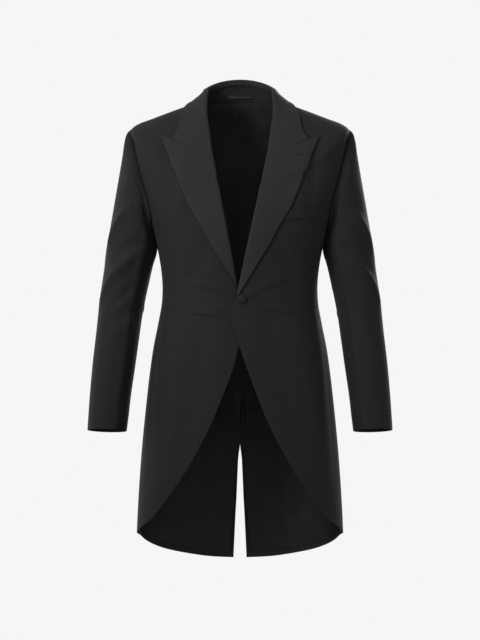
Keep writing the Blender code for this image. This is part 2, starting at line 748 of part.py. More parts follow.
def sleeve_faces():
    """Outer and inner points of the whole sleeve: rings down, steps round from the shoulder."""
    steps = np.arange(ARMHOLE_STEPS)
    angle = 2 * np.pi * steps / ARMHOLE_STEPS
    rings = np.linspace(0, len(SLEEVE["depth"]) - 1, SLEEVE_RINGS + 1)
    centre, across, forward = sleeve_rings(rings)
    points = (
        centre[:, None]
        + across[:, None] * np.cos(angle)[None, :, None]
        + forward[:, None] * np.sin(angle)[None, :, None]
    )
    places = armhole_places(0, ARMHOLE_STEPS - 1)
    seam, normal = on_form(places[:, 0], places[:, 1])
    settles = (1 - np.clip(rings / ARMHOLE_REACH, 0, 1)) ** 2
    points += settles[:, None, None] * (seam - points[0])[None]
    down = np.gradient(points, axis=0)
    round_ = np.roll(points, -1, axis=1) - np.roll(points, 1, axis=1)
    outward = unit(np.cross(down, round_))
    outward *= np.sign(np.sum(outward * (points - centre[:, None]), axis=-1, keepdims=True))
    points = points + outward * fold_height(rings[:, None], np.degrees(angle)[None])[..., None]
    inside = points - outward * CLOTH_WALL
    along_seam = unit(np.roll(seam, -1, axis=0) - np.roll(seam, 1, axis=0))
    into_hole = unit(np.cross(normal, along_seam))
    middle = seam.mean(axis=0)
    into_hole *= np.sign(np.sum(into_hole * (middle - seam), axis=-1, keepdims=True))
    turned = (np.pi * ease(-np.cos(angle)))[:, None]
    points[0] = seam + (into_hole * np.cos(turned / 2) + normal * np.sin(turned / 2)) * ARMHOLE_GAP
    inside[0] = points[0] + CLOTH_WALL * (into_hole * np.sin(turned) - normal * np.cos(turned))
    return points, inside


def sleeve(side, mirrored, finish):
    """Top sleeve and under sleeve, with a seam along the front and one along the back."""
    outer, inner = sleeve_faces()
    top = np.arange(HINDARM_SEAM_STEP - ARMHOLE_STEPS, FOREARM_SEAM_STEP + 1) % ARMHOLE_STEPS
    under = np.arange(FOREARM_SEAM_STEP, HINDARM_SEAM_STEP + 1)
    for name, steps in (("top_sleeve_", top), ("under_sleeve_", under)):
        faces = drawn_in(outer[:, steps], inner[:, steps], ("left", "right"))
        wall(name + side, *faces, mirrored, finish)


def breast_welt(finish):
    """The welt of the breast pocket, flat on the left chest and running under the lapel."""
    corners = np.array(stations(BREAST_WELT))
    top = corners[0] + (corners[1] - corners[0]) * np.linspace(0, 1, WELT_COLUMNS + 1)[:, None]
    bottom = corners[3] + (corners[2] - corners[3]) * np.linspace(0, 1, WELT_COLUMNS + 1)[:, None]
    grid = np.stack([bottom + (top - bottom) * share for share in (0, 0.5, 1)])
    inner, _ = on_form(grid[..., 0], grid[..., 1], WELT_CLEARANCE, 1)
    outer, _ = on_form(grid[..., 0], grid[..., 1], WELT_CLEARANCE + WELT_WALL, 1)
    return wall("breast_welt", outer, inner, False, finish)


def hanger_loop(finish):
    """A narrow loop across the inside of the stand, held at its two ends."""
    shares = np.linspace(-1, 1, LOOP_COLUMNS + 1)
    turns = 180 - LOOP_HALF_TURN * np.abs(shares)
    out = -CLOTH_WALL - LOOP_CLEARANCE - LOOP_SLACK * (1 - shares**2)
    faces = []
    for depth in (0.0, -LOOP_WALL):
        rows = [on_form(turns, np.full_like(turns, level), out + depth)[0] for level in LOOP_LEVELS]
        face = np.stack(rows)
        face[..., 0] *= np.sign(shares)
        faces.append(face)
    return wall("hanger_loop", *faces, False, finish)


def front_button(finish):
    """A button covered in the coat's cloth, on the left front at the waist."""
    turn, level = station(BUTTON_X, BUTTON_Z)
    seat, normal = on_form(np.array([turn]), np.array([level]), SEAM_GAP, 1)
    seat, axis = seat[0], normal[0]
    right = unit(np.cross(axis, np.array([0.0, 0.0, 1.0])))
    up = np.cross(right, axis)
    shape = bmesh.new()
    rings = []
    for radius, height in zip(BUTTON_PROFILE["radius"], BUTTON_PROFILE["height"]):
        ring = []
        for side in range(BUTTON_SIDES):
            angle = 2 * math.pi * side / BUTTON_SIDES
            point = seat + axis * height + (right * math.cos(angle) + up * math.sin(angle)) * radius
            ring.append(shape.verts.new(tuple(point * MM)))
        rings.append(ring)
    for low, high in zip(rings, rings[1:]):
        for i in range(BUTTON_SIDES):
            j = (i + 1) % BUTTON_SIDES
            shape.faces.new((low[i], low[j], high[j], high[i]))
    shape.faces.new(rings[0][::-1])
    shape.faces.new(rings[-1])
    bmesh.ops.recalc_face_normals(shape, faces=shape.faces)
    mesh = bpy.data.meshes.new("front_button")
    shape.to_mesh(mesh)
    shape.free()
    mesh.materials.append(finish)
    mesh.shade_smooth()
    thing = bpy.data.objects.new("front_button", mesh)
    bpy.context.collection.objects.link(thing)
    return thing


def main():
    clear_scene()
    cloth = material("worsted", COLOURS["cloth"], 0.85)
    facing = material("lapel_worsted", COLOURS["lapel"], 0.8)
    satin = material("lining", COLOURS["lining"], 0.5)
    covered = material("button_cloth", COLOURS["button"], 0.7)
    for side, mirrored in (("left", False), ("right", True)):
        lap = -1 if mirrored else 1
        edge = RIGHT_EDGE if mirrored else LEFT_EDGE
        skirt_edge = RIGHT_SKIRT_EDGE if mirrored else LEFT_SKIRT_EDGE
        lapel_end = RIGHT_LAPEL_END if mirrored else LEFT_LAPEL_END
        panel("forepart_" + side, forepart_places(edge), mirrored, cloth, lap)
        panel("side_body_" + side, side_body_places(), mirrored, cloth)
        skirt = skirt_places(edge, skirt_edge)
        panel("skirt_" + side, skirt, mirrored, cloth, lap)
        back = back_places()
        panel("back_" + side, back, mirrored, cloth)
        lapel("lapel_" + side, edge, lapel_end, lap, mirrored, facing)
        sleeve(side, mirrored, cloth)
        lining("back_lining_" + side, back, mirrored, satin, ("right", "bottom"))
        lining("skirt_lining_" + side, skirt[:, 2::2], mirrored, satin, ("left", "bottom"), lap)
    collar_fall(facing)
    collar_stand(cloth)
    breast_welt(cloth)
    hanger_loop(satin)
    front_button(covered)


main()
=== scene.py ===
"""The looks of a man's morning coat in black worsted, filled out as if worn, with nobody in it.

Each panel is laid again on the form of its solid, with finer rows and columns, so that its folds,
its seams and its turned edges can show. A place on the form is a turn, in degrees round from the
centre front to the centre back, and a level, the height of its ring at the side. Lengths are in
millimetres until a piece is made, where MM turns them into metres.
"""

import functools
import math
from collections import namedtuple

import bmesh
import bpy
import numpy as np
from bpy.props import FloatProperty, FloatVectorProperty, PointerProperty
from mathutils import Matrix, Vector


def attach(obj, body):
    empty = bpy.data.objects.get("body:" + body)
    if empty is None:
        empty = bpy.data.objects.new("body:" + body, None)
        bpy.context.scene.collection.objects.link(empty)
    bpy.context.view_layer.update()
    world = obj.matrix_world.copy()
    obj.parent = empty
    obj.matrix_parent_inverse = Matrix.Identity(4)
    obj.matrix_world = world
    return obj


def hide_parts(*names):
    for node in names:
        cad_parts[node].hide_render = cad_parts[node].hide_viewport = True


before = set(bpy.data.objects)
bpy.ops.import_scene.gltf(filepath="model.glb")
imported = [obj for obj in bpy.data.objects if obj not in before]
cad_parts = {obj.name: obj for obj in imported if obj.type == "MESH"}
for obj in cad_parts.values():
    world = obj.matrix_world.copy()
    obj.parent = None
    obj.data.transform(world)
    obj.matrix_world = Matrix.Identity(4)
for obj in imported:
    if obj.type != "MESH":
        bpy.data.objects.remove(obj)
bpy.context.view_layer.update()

bl_info = {
    "name": "Morning Coat",
    "version": (1, 0, 0),
    "blender": (4, 5, 0),
    "location": "3D View > Sidebar > Coat",
    "description": "Dresses the solids of a morning coat in worsted, lining and thread",
    "category": "Object",
}

MM = 0.001
BODY_NAME = "root"

# Each row and column of a solid is split this many times
FINE = 4

# Search for the place on the form that is seen at a point
STATION_TRIES = 200
STATION_STEP = 0.4
STATION_CLOSE = 1e-5
SINE_TRIES = 8
SLOPE_STEP = 0.05

# Cloth
CLOTH_WALL = 2.0
LINING_WALL = 1.0
SEAM_GAP = 0.04
LINING_CLEARANCE = 2.4
LINING_MARGIN = 8.0

# Roll of the lapels and the collar: the cloth turns over the edge of what it lies on
ROLL_INNER_RADIUS = 1.9
ROLL_RADIUS = ROLL_INNER_RADIUS + CLOTH_WALL
ROLL_CENTRE = -CLOTH_WALL / 2
ROLL_STEPS = 3 * FINE
FACING_RETURN = 8.0
ROLL_BREAK = -415.0
ROLL_BREAK_LENGTH = 24.0
NOTCH_OPENING = 1.0
STAND_LEAST = 4.0
STAND_GAP = 0.7
STAND_SLANT = 3.0
LAPEL_SHARE = 0.985
LAPEL_STAND_OFF = 1.7
COLLAR_STAND_OFF = 2.2
STAND_OFF_RISE = 0.7

# Left front over right front
LAP_DEPTH = 3.0
LAP_FULL_AT = 14.0
LAP_FADES_BY = 70.0
LAP_TOP = -300.0
LAP_BOTTOM = -610.0
LAP_EASE = 70.0

# Levels and places shared by several pieces
CREST_LEVEL = 42.0
CREST_TURNS = (180, 160, 140, 120, 100, 85)
NECK_SEAM_LEVEL = 18.0
SHOULDER_TURN = 96.0
NECK_BACK_TURN = 140.0
BACK_WAIST_LEVEL = -390.0
FALL_TURNS = (180, 155, 130, 105)
FALL_EDGE_LEVEL = 11.0
FALL_SIDE_TURN = 90.0
FALL_SIDE_LEVEL = 7.5
FINE_STEPS = 240 * FINE
BETWEEN_ROWS = 4
ROLL_LENGTHS = 60 * FINE
VENT_TOP = -732.0

# Armhole, an egg shape in turn and level
ARMHOLE_TOP = -43.0
ARMHOLE_BOTTOM = -262.0
ARMHOLE_TOP_TURN = SHOULDER_TURN
ARMHOLE_BOTTOM_TURN = 88.0
ARMHOLE_FRONT_BULGE = 25.0
ARMHOLE_BACK_BULGE = 21.0
ARMHOLE_STEPS = 24 * FINE
FRONT_SEAM_STEP = 11 * FINE
BACK_SEAM_STEP = 17 * FINE

# Sleeve seams, in armhole steps from the shoulder round the front
FOREARM_SEAM_STEP = 9 * FINE
HINDARM_SEAM_STEP = BACK_SEAM_STEP
SLEEVE_RINGS = 24 * FINE
ARMHOLE_GAP = 0.6
ARMHOLE_REACH = 6.0
RING_PITCH = 46.0
DEGREE_PITCH = 0.9
FOLD_END = 0.15

# Small pieces
BUTTON_SIDES = 20 * FINE
BUTTON_X = 5.5
BUTTON_Z = -412.0
WELT_WALL = 1.2
WELT_CLEARANCE = 0.5
WELT_COLUMNS = 8 * FINE
LOOP_WALL = 1.2
LOOP_CLEARANCE = 0.5
LOOP_SLACK = 3.0
LOOP_COLUMNS = 8 * FINE
LOOP_HALF_TURN = 17.0
LOOP_LEVELS = (22.5, 25.5)


def table(columns, rows):
    """Rows of numbers as one array for each named column."""
    names = columns.split()
    return {name: np.array([row[i] for row in rows], float) for i, name in enumerate(names)}


# The form, from the crest of the collar down past the hem
BODY = table(
    "level half_width front_depth back_depth front_drop back_rise fullness",
    (
        (42, 73, 56, 48, -48, 27, 0.12),
        (30, 80, 60, 54, -55, 14, 0.12),
        (18, 92.5, 67, 59, -63, 0, 0.12),
        (7, 108, 75, 66, -72, -5, 0.12),
        (-1, 129, 83, 72, -80, -8, 0.12),
        (-9, 151, 90, 77, -88, -11, 0.12),
        (-22, 185, 99, 84, -99, -16, 0.12),
        (-34, 217, 106, 90, -109, -23, 0.12),
        (-43, 231, 111, 94, -115, -30, 0.12),
        (-70, 231, 116, 99, -110, -33, 0.12),
        (-100, 229, 120, 103, -100, -32, 0.12),
        (-152, 220, 125, 107, -75, -28, 0.12),
        (-200, 206, 127, 107, -50, -22, 0.12),
        (-240, 193.5, 127.5, 105, -30, -17, 0.12),
        (-262, 187.5, 127, 102, -22, -14, 0.12),
        (-285, 181.5, 126, 99, -15, -10, 0.12),
        (-307, 176.5, 124.5, 95, -9, -7, 0.11),
        (-337, 171, 122, 87, -4, -4, 0.10),
        (-390, 166.6, 118, 79, 0, 0, 0.10),
        (-418, 168, 118, 78.5, 0, 0, 0.10),
        (-464, 176, 119.5, 82.5, 0, 0, 0.10),
        (-520, 187, 122, 91.5, 0, 0, 0.10),
        (-570, 194, 123.5, 99.5, 0, 0, 0.10),
        (-640, 202, 125, 107.5, 0, 0, 0.10),
        (-710, 209, 126, 113.5, 0, 0, 0.11),
        (-800, 216, 127, 119, 0, 0, 0.12),
        (-914, 222, 128, 124, 0, 0, 0.12),
        (-1000, 224, 128, 127, 0, 0, 0.12),
    ),
)

# Sewing lines as seen from the front: x is out from the centre on either half, z is the height
ROLL_LINE = table("x z", ((69.8, 33), (69.5, -16), (65, -48), (57.6, -101)))
LEFT_EDGE = table(
    "x z",
    ((47.7, -147), (25.1, -252), (5, -345), (-4, -387), (-9.7, -415), (-18.5, -431), (-18, -450)),
)
RIGHT_EDGE = table(
    "x z",
    ((49, -147), (29.3, -252), (11.9, -345), (4, -386), (-5, -410), (-14, -431), (-15, -450)),
)
LAPEL_END_ROW = 3
LEFT_SKIRT_EDGE = table("x z", ((-18, -450), (-13, -474), (-3, -506)))
RIGHT_SKIRT_EDGE = table("x z", ((-15, -450), (-10, -480), (0, -506)))
CUTAWAY = table(
    "x z",
    ((16, -561), (40, -624), (66, -685), (90, -731), (118, -779), (150, -826), (187, -874)),
)
LAPEL_EDGE = table(
    "x z",
    ((167, -66), (160.5, -85), (145.3, -125), (125.4, -172), (93.5, -239), (64.7, -290), (37.5, -335)),
)
LEFT_LAPEL_END = table("x z", ((14, -373), (-1, -398)))
RIGHT_LAPEL_END = table("x z", ((17, -368), (6, -390)))
COLLAR_FRONT_EDGE = table("x z", ((124, -17), (131, -54)))
GORGE_ROW = 3
NOTCH_SHARE = 0.77

# Seams on the back, as seen straight from behind
SIDE_BACK_SEAM = table("x z", ((174, -238), (130, -292), (90, -345), (66, -390)))
SIDE_BACK_SKIRT_SEAM = table("x z", ((66, -500), (78, -650), (90, -800), (104, -973.5)))
VENT_EDGE = table("x z", ((3.3, -757), (5.5, -797), (7.8, -850), (10, -889), (14.4, -982)))
SKIRT_HEM = table("x z", ((217, -922), (204.5, -937), (172, -956), (131, -968), (104, -973.5)))
BACK_HEM = table("x z", ((104, -973.5), (80, -977.5), (48, -980.5), (14.4, -982)))

# Seams round the body, in turn and level
WAIST_SEAM = table(
    "turn level",
    ((-7, -450), (15, -449.5), (35, -444), (58, -435), (84, -429), (125, -421), (160, -417)),
)
SIDE_SEAM = table("turn level", ((84, -429), (83, -340)))
CUTAWAY_CORNER = (86.0, -912.0)

# Rows and columns of the panels
SIDE_ROWS = 7 * FINE
SKIRT_ROWS = 12 * FINE
SHOULDER_ROWS = 6 * FINE
FOREPART_COLUMNS = 8 * FINE
SIDE_BODY_COLUMNS = BACK_SEAM_STEP - FRONT_SEAM_STEP
FACING_COLUMNS = 2 * FINE
BACK_COLUMNS = 6 * FINE
COLLAR_STATIONS = 18 * FINE
LAPEL_STATIONS = 16 * FINE
COLLAR_ACROSS = 4 * FINE
LAPEL_ACROSS = 5 * FINE

# The sleeve, a row for each ring: the points furthest out and in, then front to back
SLEEVE = table(
    "outer_x outer_z inner_x inner_z centre_y depth front_lift",
    (
        (231, -43, 187, -262, -6, 106, 0),
        (241, -52, 188, -267, -5, 110, 0),
        (247.5, -72, 187, -273, -4, 113, 0),
        (252, -100, 185.5, -281, -2, 116, 0),
        (258, -135, 183.5, -291, 0, 119, 0),
        (265, -175, 180.8, -304, 2, 121, 0),
        (272.5, -218, 183, -322, 4, 122, 0),
        (280, -262, 188.6, -344, 6, 121, 0),
        (287, -310, 195.5, -374, 8, 118, 0),
        (295, -362, 203, -408, 9, 114, 0),
        (303, -420, 210.5, -448, 7, 109, 0.5),
        (309, -480, 217, -496, 1, 104, 2),
        (316, -545, 225, -556, -7, 100, 4),
        (321, -606, 233, -613, -15, 97, 5.5),
        (324, -655, 238, -660, -22, 95, 6.3),
        (326, -691, 242, -693, -27, 93, 6.5),
    ),
)

# The largest folds of the sleeve, a row for each, in rings down and degrees round
SLEEVE_FOLDS = table(
    "ring_start around_start ring_end around_end width height",
    (
        (5.6, 62, 8.2, 8, 26, 3.5),
        (7.4, 100, 9.9, 18, 24, 3.0),
        (9.6, 150, 10.6, 60, 22, -3.5),
        (10.8, 330, 9.8, 250, 24, 3.0),
    ),
)

# Corners of the breast welt, as seen from the front
BREAST_WELT = table("x z", ((100, -226), (178, -213), (176, -236), (92, -249)))

# Folds of the body by three points of each, on its back where behind is 1. The wearer's left is +x
BODY_FOLDS = table(
    "x0 z0 x1 z1 x2 z2 behind width height",
    (
        (-18, -404, -52, -388, -112, -378, 0, 14, 3.8),
        (-20, -428, -56, -437, -98, -440, 0, 11, 2.2),
        (20, -402, 52, -384, 104, -366, 0, 14, 3.6),
        (26, -424, 66, -432, 118, -428, 0, 12, 2.4),
        (-22, -380, -56, -350, -90, -310, 0, 30, 1.8),
        (-164, -84, -150, -150, -146, -214, 0, 27, -4.4),
        (166, -80, 154, -144, 148, -210, 0, 26, -4.2),
        (-140, -150, -128, -196, -134, -244, 0, 40, 2.6),
        (140, -150, 130, -200, 134, -246, 0, 38, 2.2),
        (-66, -300, -96, -352, -118, -420, 0, 36, -3.4),
        (74, -290, 98, -350, 112, -425, 0, 40, -3.6),
        (-120, -470, -142, -640, -160, -850, 0, 44, 4.2),
        (-66, -480, -92, -590, -122, -735, 0, 38, -2.8),
        (112, -470, 150, -620, 172, -830, 0, 50, 4.2),
        (58, -476, 90, -600, 130, -750, 0, 36, -2.6),
        (-168, -460, -186, -600, -192, -800, 0, 30, -2.6),
        (170, -455, 190, -610, 202, -790, 0, 34, -2.8),
        (14, -70, 70, -112, 150, -128, 1, 34, 3.2),
        (-10, -86, -64, -118, -146, -150, 1, 36, 2.8),
        (60, -190, 96, -270, 104, -360, 1, 34, -3.0),
        (-56, -180, -92, -262, -108, -350, 1, 38, -3.2),
        (24, -330, 44, -372, 88, -392, 1, 16, 2.2),
        (-20, -345, -46, -380, -92, -396, 1, 15, 2.0),
        (40, -440, 46, -600, 52, -800, 1, 26, 3.0),
        (-44, -445, -48, -620, -58, -820, 1, 28, 3.2),
        (120, -450, 140, -620, 150, -860, 1, 44, 4.4),
        (-112, -455, -138, -640, -156, -880, 1, 48, 4.2),
        (150, -60, 182, -120, 184, -200, 1, 26, -2.8),
        (-152, -64, -180, -130, -186, -214, 1, 24, -3.0),
    ),
)

# Creases of each sleeve, narrower than the folds that its solid has
LEFT_SLEEVE_CREASES = table(
    "ring_start around_start ring_end around_end width height",
    (
        (5.0, 74, 7.9, 26, 14, 4.8),
        (6.4, 112, 8.6, 44, 17, -3.8),
        (7.6, 96, 9.8, 28, 14, 5.0),
        (8.9, 118, 10.3, 58, 13, -3.6),
        (10.1, 124, 10.7, 78, 12, 3.0),
        (2.0, 70, 4.8, 52, 26, 2.2),
        (3.2, 122, 15.2, 116, 22, 3.6),
        (0.8, 178, 5.6, 176, 50, 4.6),
        (1.0, 116, 4.6, 128, 26, -4.0),
        (11.6, 112, 12.8, 70, 22, 1.6),
        (7.0, 210, 8.6, 250, 14, 2.6),
        (8.4, 196, 9.8, 262, 15, 3.2),
        (9.9, 190, 10.7, 268, 13, 3.2),
        (11.2, 214, 12.4, 268, 16, 2.2),
        (0.7, 330, 0.7, 30, 22, 3.4),
    ),
)
RIGHT_SLEEVE_CREASES = table(
    "ring_start around_start ring_end around_end width height",
    (
        (4.6, 78, 7.5, 28, 13, 5.0),
        (5.8, 120, 7.9, 60, 17, -3.9),
        (6.75, 112, 8.4, 72, 14, 3.0),
        (7.7, 92, 9.8, 30, 13, 5.2),
        (8.6, 122, 10.1, 64, 12, -3.8),
        (9.7, 92, 10.1, 124, 11, 3.2),
        (10.4, 128, 11.1, 78, 16, 2.2),
        (2.0, 74, 4.4, 58, 26, 2.4),
        (3.0, 124, 15.2, 118, 22, 3.8),
        (0.8, 178, 5.6, 176, 50, 4.6),
        (1.0, 118, 4.4, 130, 28, -4.4),
        (6.6, 206, 8.3, 256, 15, 2.6),
        (8.2, 200, 9.5, 256, 14, 3.4),
        (9.6, 186, 10.5, 262, 13, 3.0),
        (10.9, 220, 12.0, 276, 17, 2.4),
        (0.7, 330, 0.7, 30, 22, 3.4),
    ),
)

# Folds of the linings, as seen through the neck and the cutaway
LINING_FOLDS = table(
    "x0 z0 x1 z1 x2 z2 behind width height",
    (
        (-6, 8, -15, -16, -29, -46, 1, 10, -4.0),
        (-4, -4, -10, -16, -14, -30, 1, 7, -2.6),
        (40, -8, 52, -28, 60, -50, 1, 20, -4.4),
        (16, -12, 30, -60, 34, -120, 1, 18, 2.4),
        (20, -50, 34, -100, 30, -160, 1, 22, -3.6),
        (-30, -64, -40, -124, -38, -190, 1, 22, -3.6),
        (2.4, -30, 3.2, -150, 2.4, -290, 1, 6, -3.0),
        (8, -190, 22, -250, 20, -330, 1, 20, -2.8),
        (-14, -200, -24, -270, -20, -340, 1, 18, -3.0),
        (7.2, -612, 6.4, -660, 7.0, -728, 1, 7, -2.2),
        (-40, -600, -52, -720, -70, -880, 1, 30, -3.2),
        (46, -640, 60, -760, 84, -930, 1, 34, -3.4),
    ),
)

# The slit of the lapel's buttonhole, from the front
BUTTONHOLE = table("x z", ((115.5, -110.5), (131.5, -108)))

# The button's outline, from the middle of its underside round to the middle of its top
BUTTON_DOME = table(
    "radius height",
    ((6, 0), (8.8, 0), (9.6, 0.5), (10, 1.3), (9.8, 2.3), (8.6, 3.5), (6.4, 4.3), (3.6, 4.7), (1.2, 4.8)),
)

# The lapels reach a little further down the fronts than their solids
LAPEL_LONGER = 3

# Finish of edges and folds
NARROW_SHARE = 1 / 3
SHOULDER_SHARE = 0.35
TUCK_DEPTH = 2.7
TUCK_LENGTH = 4.0
HEM_FACING = 15.0
NOTCH_SHARE_OPEN = 0.42
VENT_EASE = 14.0
LINING_PLEAT = 1.5
CLOTH_MAP = "cloth"
SHARP_ANGLE = 60
FOLD_STEPS = 9
STAND_ROWS = 8
WELT_ROWS = 7
WELT_SWELL = 0.8
LOOP_ROWS = 4
BUTTONHOLE_STEPS = 12
BUTTONHOLE_LIFT = 0.25

# Worsted: its ribs, dye and nap. A dye is the least and the most of a colour that shows
RIB_LEAN = 0.8
RIB_SHARE = 0.32
THREAD_LEAN = 0.4
THREADS_PER_RIB = 2.2
THREAD_SHARE = 0.14
FIBRE_SIZE = 0.0016
CLOUD_SIZE = 0.11
WEAVE_DEPTH = 0.00012
WORSTED_DYE = (0.62, 1.38)
WEAVE_DYE_SHARE = 0.35
FIBRE_DYE_SHARE = 0.3
CLOUD_DYE_SHARE = 0.35
WEAVE_RELIEF = 0.7
FIBRE_RELIEF = 0.5
ROUGHNESS_RANGE = 0.12
WORSTED_GLOSS = 0.09
NAP_ROUGHNESS = 0.42
NAP_TINT = (0.62, 0.63, 0.68, 1.0)

# Roughness and nap of each worsted
BODY_FINISH = (0.8, 0.03)
LAPEL_FINISH = (0.72, 0.035)
BUTTON_FINISH = (0.6, 0.03)

# Lining, with painted shade that darkens it down towards the bottom of the skirts and tails, and thread
LINING_PITCH = 0.0006
LINING_DYE = (0.8, 1.5)
LINING_GLOSS = 0.1
LINING_ROUGHNESS = 0.36
LINING_ROUGHNESS_RANGE = 0.14
FLOAT_DYE_SHARE = 0.3
FLOAT_DEPTH = 0.00004
PUCKER_SIZE = 0.045
PUCKER_DEPTH = 0.0025
# Painted shade inside the skirts and tails: the height where it is fullest, how far up it fades out, and
# how much of the colour it leaves
PAINTED_SHADE_BOTTOM = -0.65
PAINTED_SHADE_FADE = 0.5
TAIL_PAINTED_SHADE = 0.28
THREAD_TWIST = 0.0006
THREAD_DEPTH = 0.00005
THREAD_DYE = (0.6, 1.3)
THREAD_GLOSS = 0.2
THREAD_ROUGHNESS = 0.4
THREAD_ROUGHNESS_RANGE = 0.15

# Studio, in metres
FLOOR_LEVEL = -1.45
FLOOR_REACH = 4.0
FLOOR_FADES_AT = 2.45
FLOOR_FADE = 0.8
PAPER_PALE = (0.965, 0.985)
PAPER_SPECK = 0.35
PAPER_ROUGHNESS = 0.9
PAPER_ROUGHNESS_RANGE = 0.05
BACKDROP_STRENGTH = 0.92
CAMERA_PLACE = (0.0, -4.0, -0.4558)
CAMERA_LENS = 104.6
CAMERA_SENSOR = 36.0

# Lights: name, place, target, size in metres, watts, spread in degrees
STUDIO_LIGHTS = (
    ("key_light", (-2.5, -2.6, 0.9), (0.0, 0.0, -0.12), 1.3, 10.8, 32),
    ("rim_light", (-2.6, 0.6, -0.3), (-0.1, 0.0, -0.5), 0.9, 0.4, 50),
    ("fill_light", (2.8, -1.8, 0.5), (0.0, 0.0, -0.3), 1.4, 0.6, 45),
    ("top_light", (-0.4, -0.9, 2.3), (0.0, 0.0, -0.2), 1.0, 2.2, 55),
    ("back_light", (1.7, 3.2, 0.9), (0.0, 0.0, -0.3), 1.3, 5.0, 32),
    ("back_fill", (-2.6, 2.4, 0.2), (0.0, 0.0, -0.4), 1.4, 1.5, 36),
)


def smooth_between(places, values, at):
    """A smooth line through the rows of a table."""
    places = np.asarray(places, float)
    values = np.asarray(values, float)
    if places[0] > places[-1]:
        places, values = places[::-1], values[::-1]
    gaps = np.diff(places)
    rises = np.diff(values) / gaps
    slopes = np.concatenate([rises[:1], rises])
    slopes[1:-1] = (gaps[:-1] * rises[1:] + gaps[1:] * rises[:-1]) / (gaps[:-1] + gaps[1:])
    at = np.clip(np.asarray(at, float), places[0], places[-1])
    i = np.clip(np.searchsorted(places, at) - 1, 0, len(gaps) - 1)
    t = (at - places[i]) / gaps[i]
    return (
        (2 * t**3 - 3 * t**2 + 1) * values[i]
        + (t**3 - 2 * t**2 + t) * gaps[i] * slopes[i]
        + (3 * t**2 - 2 * t**3) * values[i + 1]
        + (t**3 - t**2) * gaps[i] * slopes[i + 1]
    )


def ease(share):
    """0 to 1 with no corner at either end."""
    share = np.clip(share, 0.0, 1.0)
    return share * share * (3 - 2 * share)


def rows_of(rows):
    """Each row of a table, with its values by name."""
    names = list(rows)
    return [dict(zip(names, values)) for values in zip(*rows.values())]


def ring_size(column, level):
    """A size of the body's ring at a level."""
    return smooth_between(BODY["level"], BODY[column], level)


def bare_form(turn, level):
    """The point of the form at a turn and a level, on the half where x is positive."""
    turn = np.radians(np.asarray(turn, float))
    level = np.asarray(level, float)
    side, ahead = np.sin(turn), np.cos(turn)
    fullness = ring_size("fullness", level)
    in_front = ahead > 0
    depth = np.where(in_front, ring_size("front_depth", level), ring_size("back_depth", level))
    tilt = np.where(
        in_front,
        ring_size("front_drop", level) * ahead**2,
        ring_size("back_rise", level) * np.abs(ahead) ** 1.5,
    )
    x = ring_size("half_width", level) * side * (1 + fullness * ahead**2)
    y = -depth * ahead * (1 + fullness * side**2)
    return np.stack([x, y, level + tilt], axis=-1)


def unit(vectors):
    return vectors / np.maximum(np.linalg.norm(vectors, axis=-1, keepdims=True), 1e-9)


def form_slopes(turn, level):
    """How the point moves with a degree of turn, and with a millimetre of level."""
    step = SLOPE_STEP
    along_turn = (bare_form(turn + step, level) - bare_form(turn - step, level)) / (2 * step)
    along_level = (bare_form(turn, level + step) - bare_form(turn, level - step)) / (2 * step)
    return along_turn, along_level


def lap_shift(point):
    """How far the overlap pushes a front in or out, as a share of the lap's depth."""
    across = 1 - ease((point[..., 0] - LAP_FULL_AT) / (LAP_FADES_BY - LAP_FULL_AT))
    down = ease((LAP_TOP - point[..., 2]) / LAP_EASE) * ease((point[..., 2] - LAP_BOTTOM) / LAP_EASE)
    return across * down * (point[..., 1] < 0)


def on_form(turn, level, out=0.0, lap=0, side=0):
    """Points a distance out from the form, with its folds.

    lap is 1 on the left front and -1 on the right one. side is 1 on the wearer's left and -1 on
    the right, or 0 for a place that takes no folds.
    """
    turn = np.asarray(turn, float)
    level = np.asarray(level, float)
    point = bare_form(turn, level)
    along_turn, along_level = form_slopes(turn, level)
    normal = unit(np.cross(along_turn, along_level))
    away = np.asarray(out, float) + lap * LAP_DEPTH * lap_shift(point)
    if side:
        away = away + body_fold_height(point * (side, 1, 1))
    return point + normal * away[..., None], normal


@functools.cache
def station(x, z, back=False):
    """The turn and level of the place seen at x and z from the front, or from behind."""
    x, z = float(x), float(z)
    level = z
    turn = 0.0
    for _ in range(STATION_TRIES):
        share = x / float(ring_size("half_width", level))
        fullness = float(ring_size("fullness", level))
        sine = max(-1.0, min(1.0, share))
        for _ in range(SINE_TRIES):
            sine = max(-1.0, min(1.0, share / (1 + fullness * (1 - sine * sine))))
        ahead = math.sqrt(1 - sine * sine)
        turn = math.degrees(math.asin(sine))
        tilt = (
            float(ring_size("back_rise", level)) * ahead**1.5
            if back
            else float(ring_size("front_drop", level)) * ahead**2
        )
        step = STATION_STEP * (z - tilt - level)
        level += step
        if abs(step) < STATION_CLOSE:
            break
    return (180 - turn if back else turn, level)


def stations(line, back=False):
    return [station(x, z, back) for x, z in zip(line["x"], line["z"])]


def close_stations(*lines):
    """Stations of lines end to end, with a few more between each two rows."""
    x, z = (np.concatenate([line[name] for line in lines]) for name in ("x", "z"))
    reach = np.concatenate([[0], np.cumsum(np.hypot(np.diff(x), np.diff(z)))])
    rows = np.arange((len(x) - 1) * BETWEEN_ROWS + 1) / BETWEEN_ROWS
    at = np.interp(rows, np.arange(len(x)), reach)
    fine = {"x": smooth_between(reach, x, at), "z": smooth_between(reach, z, at)}
    return stations(fine)


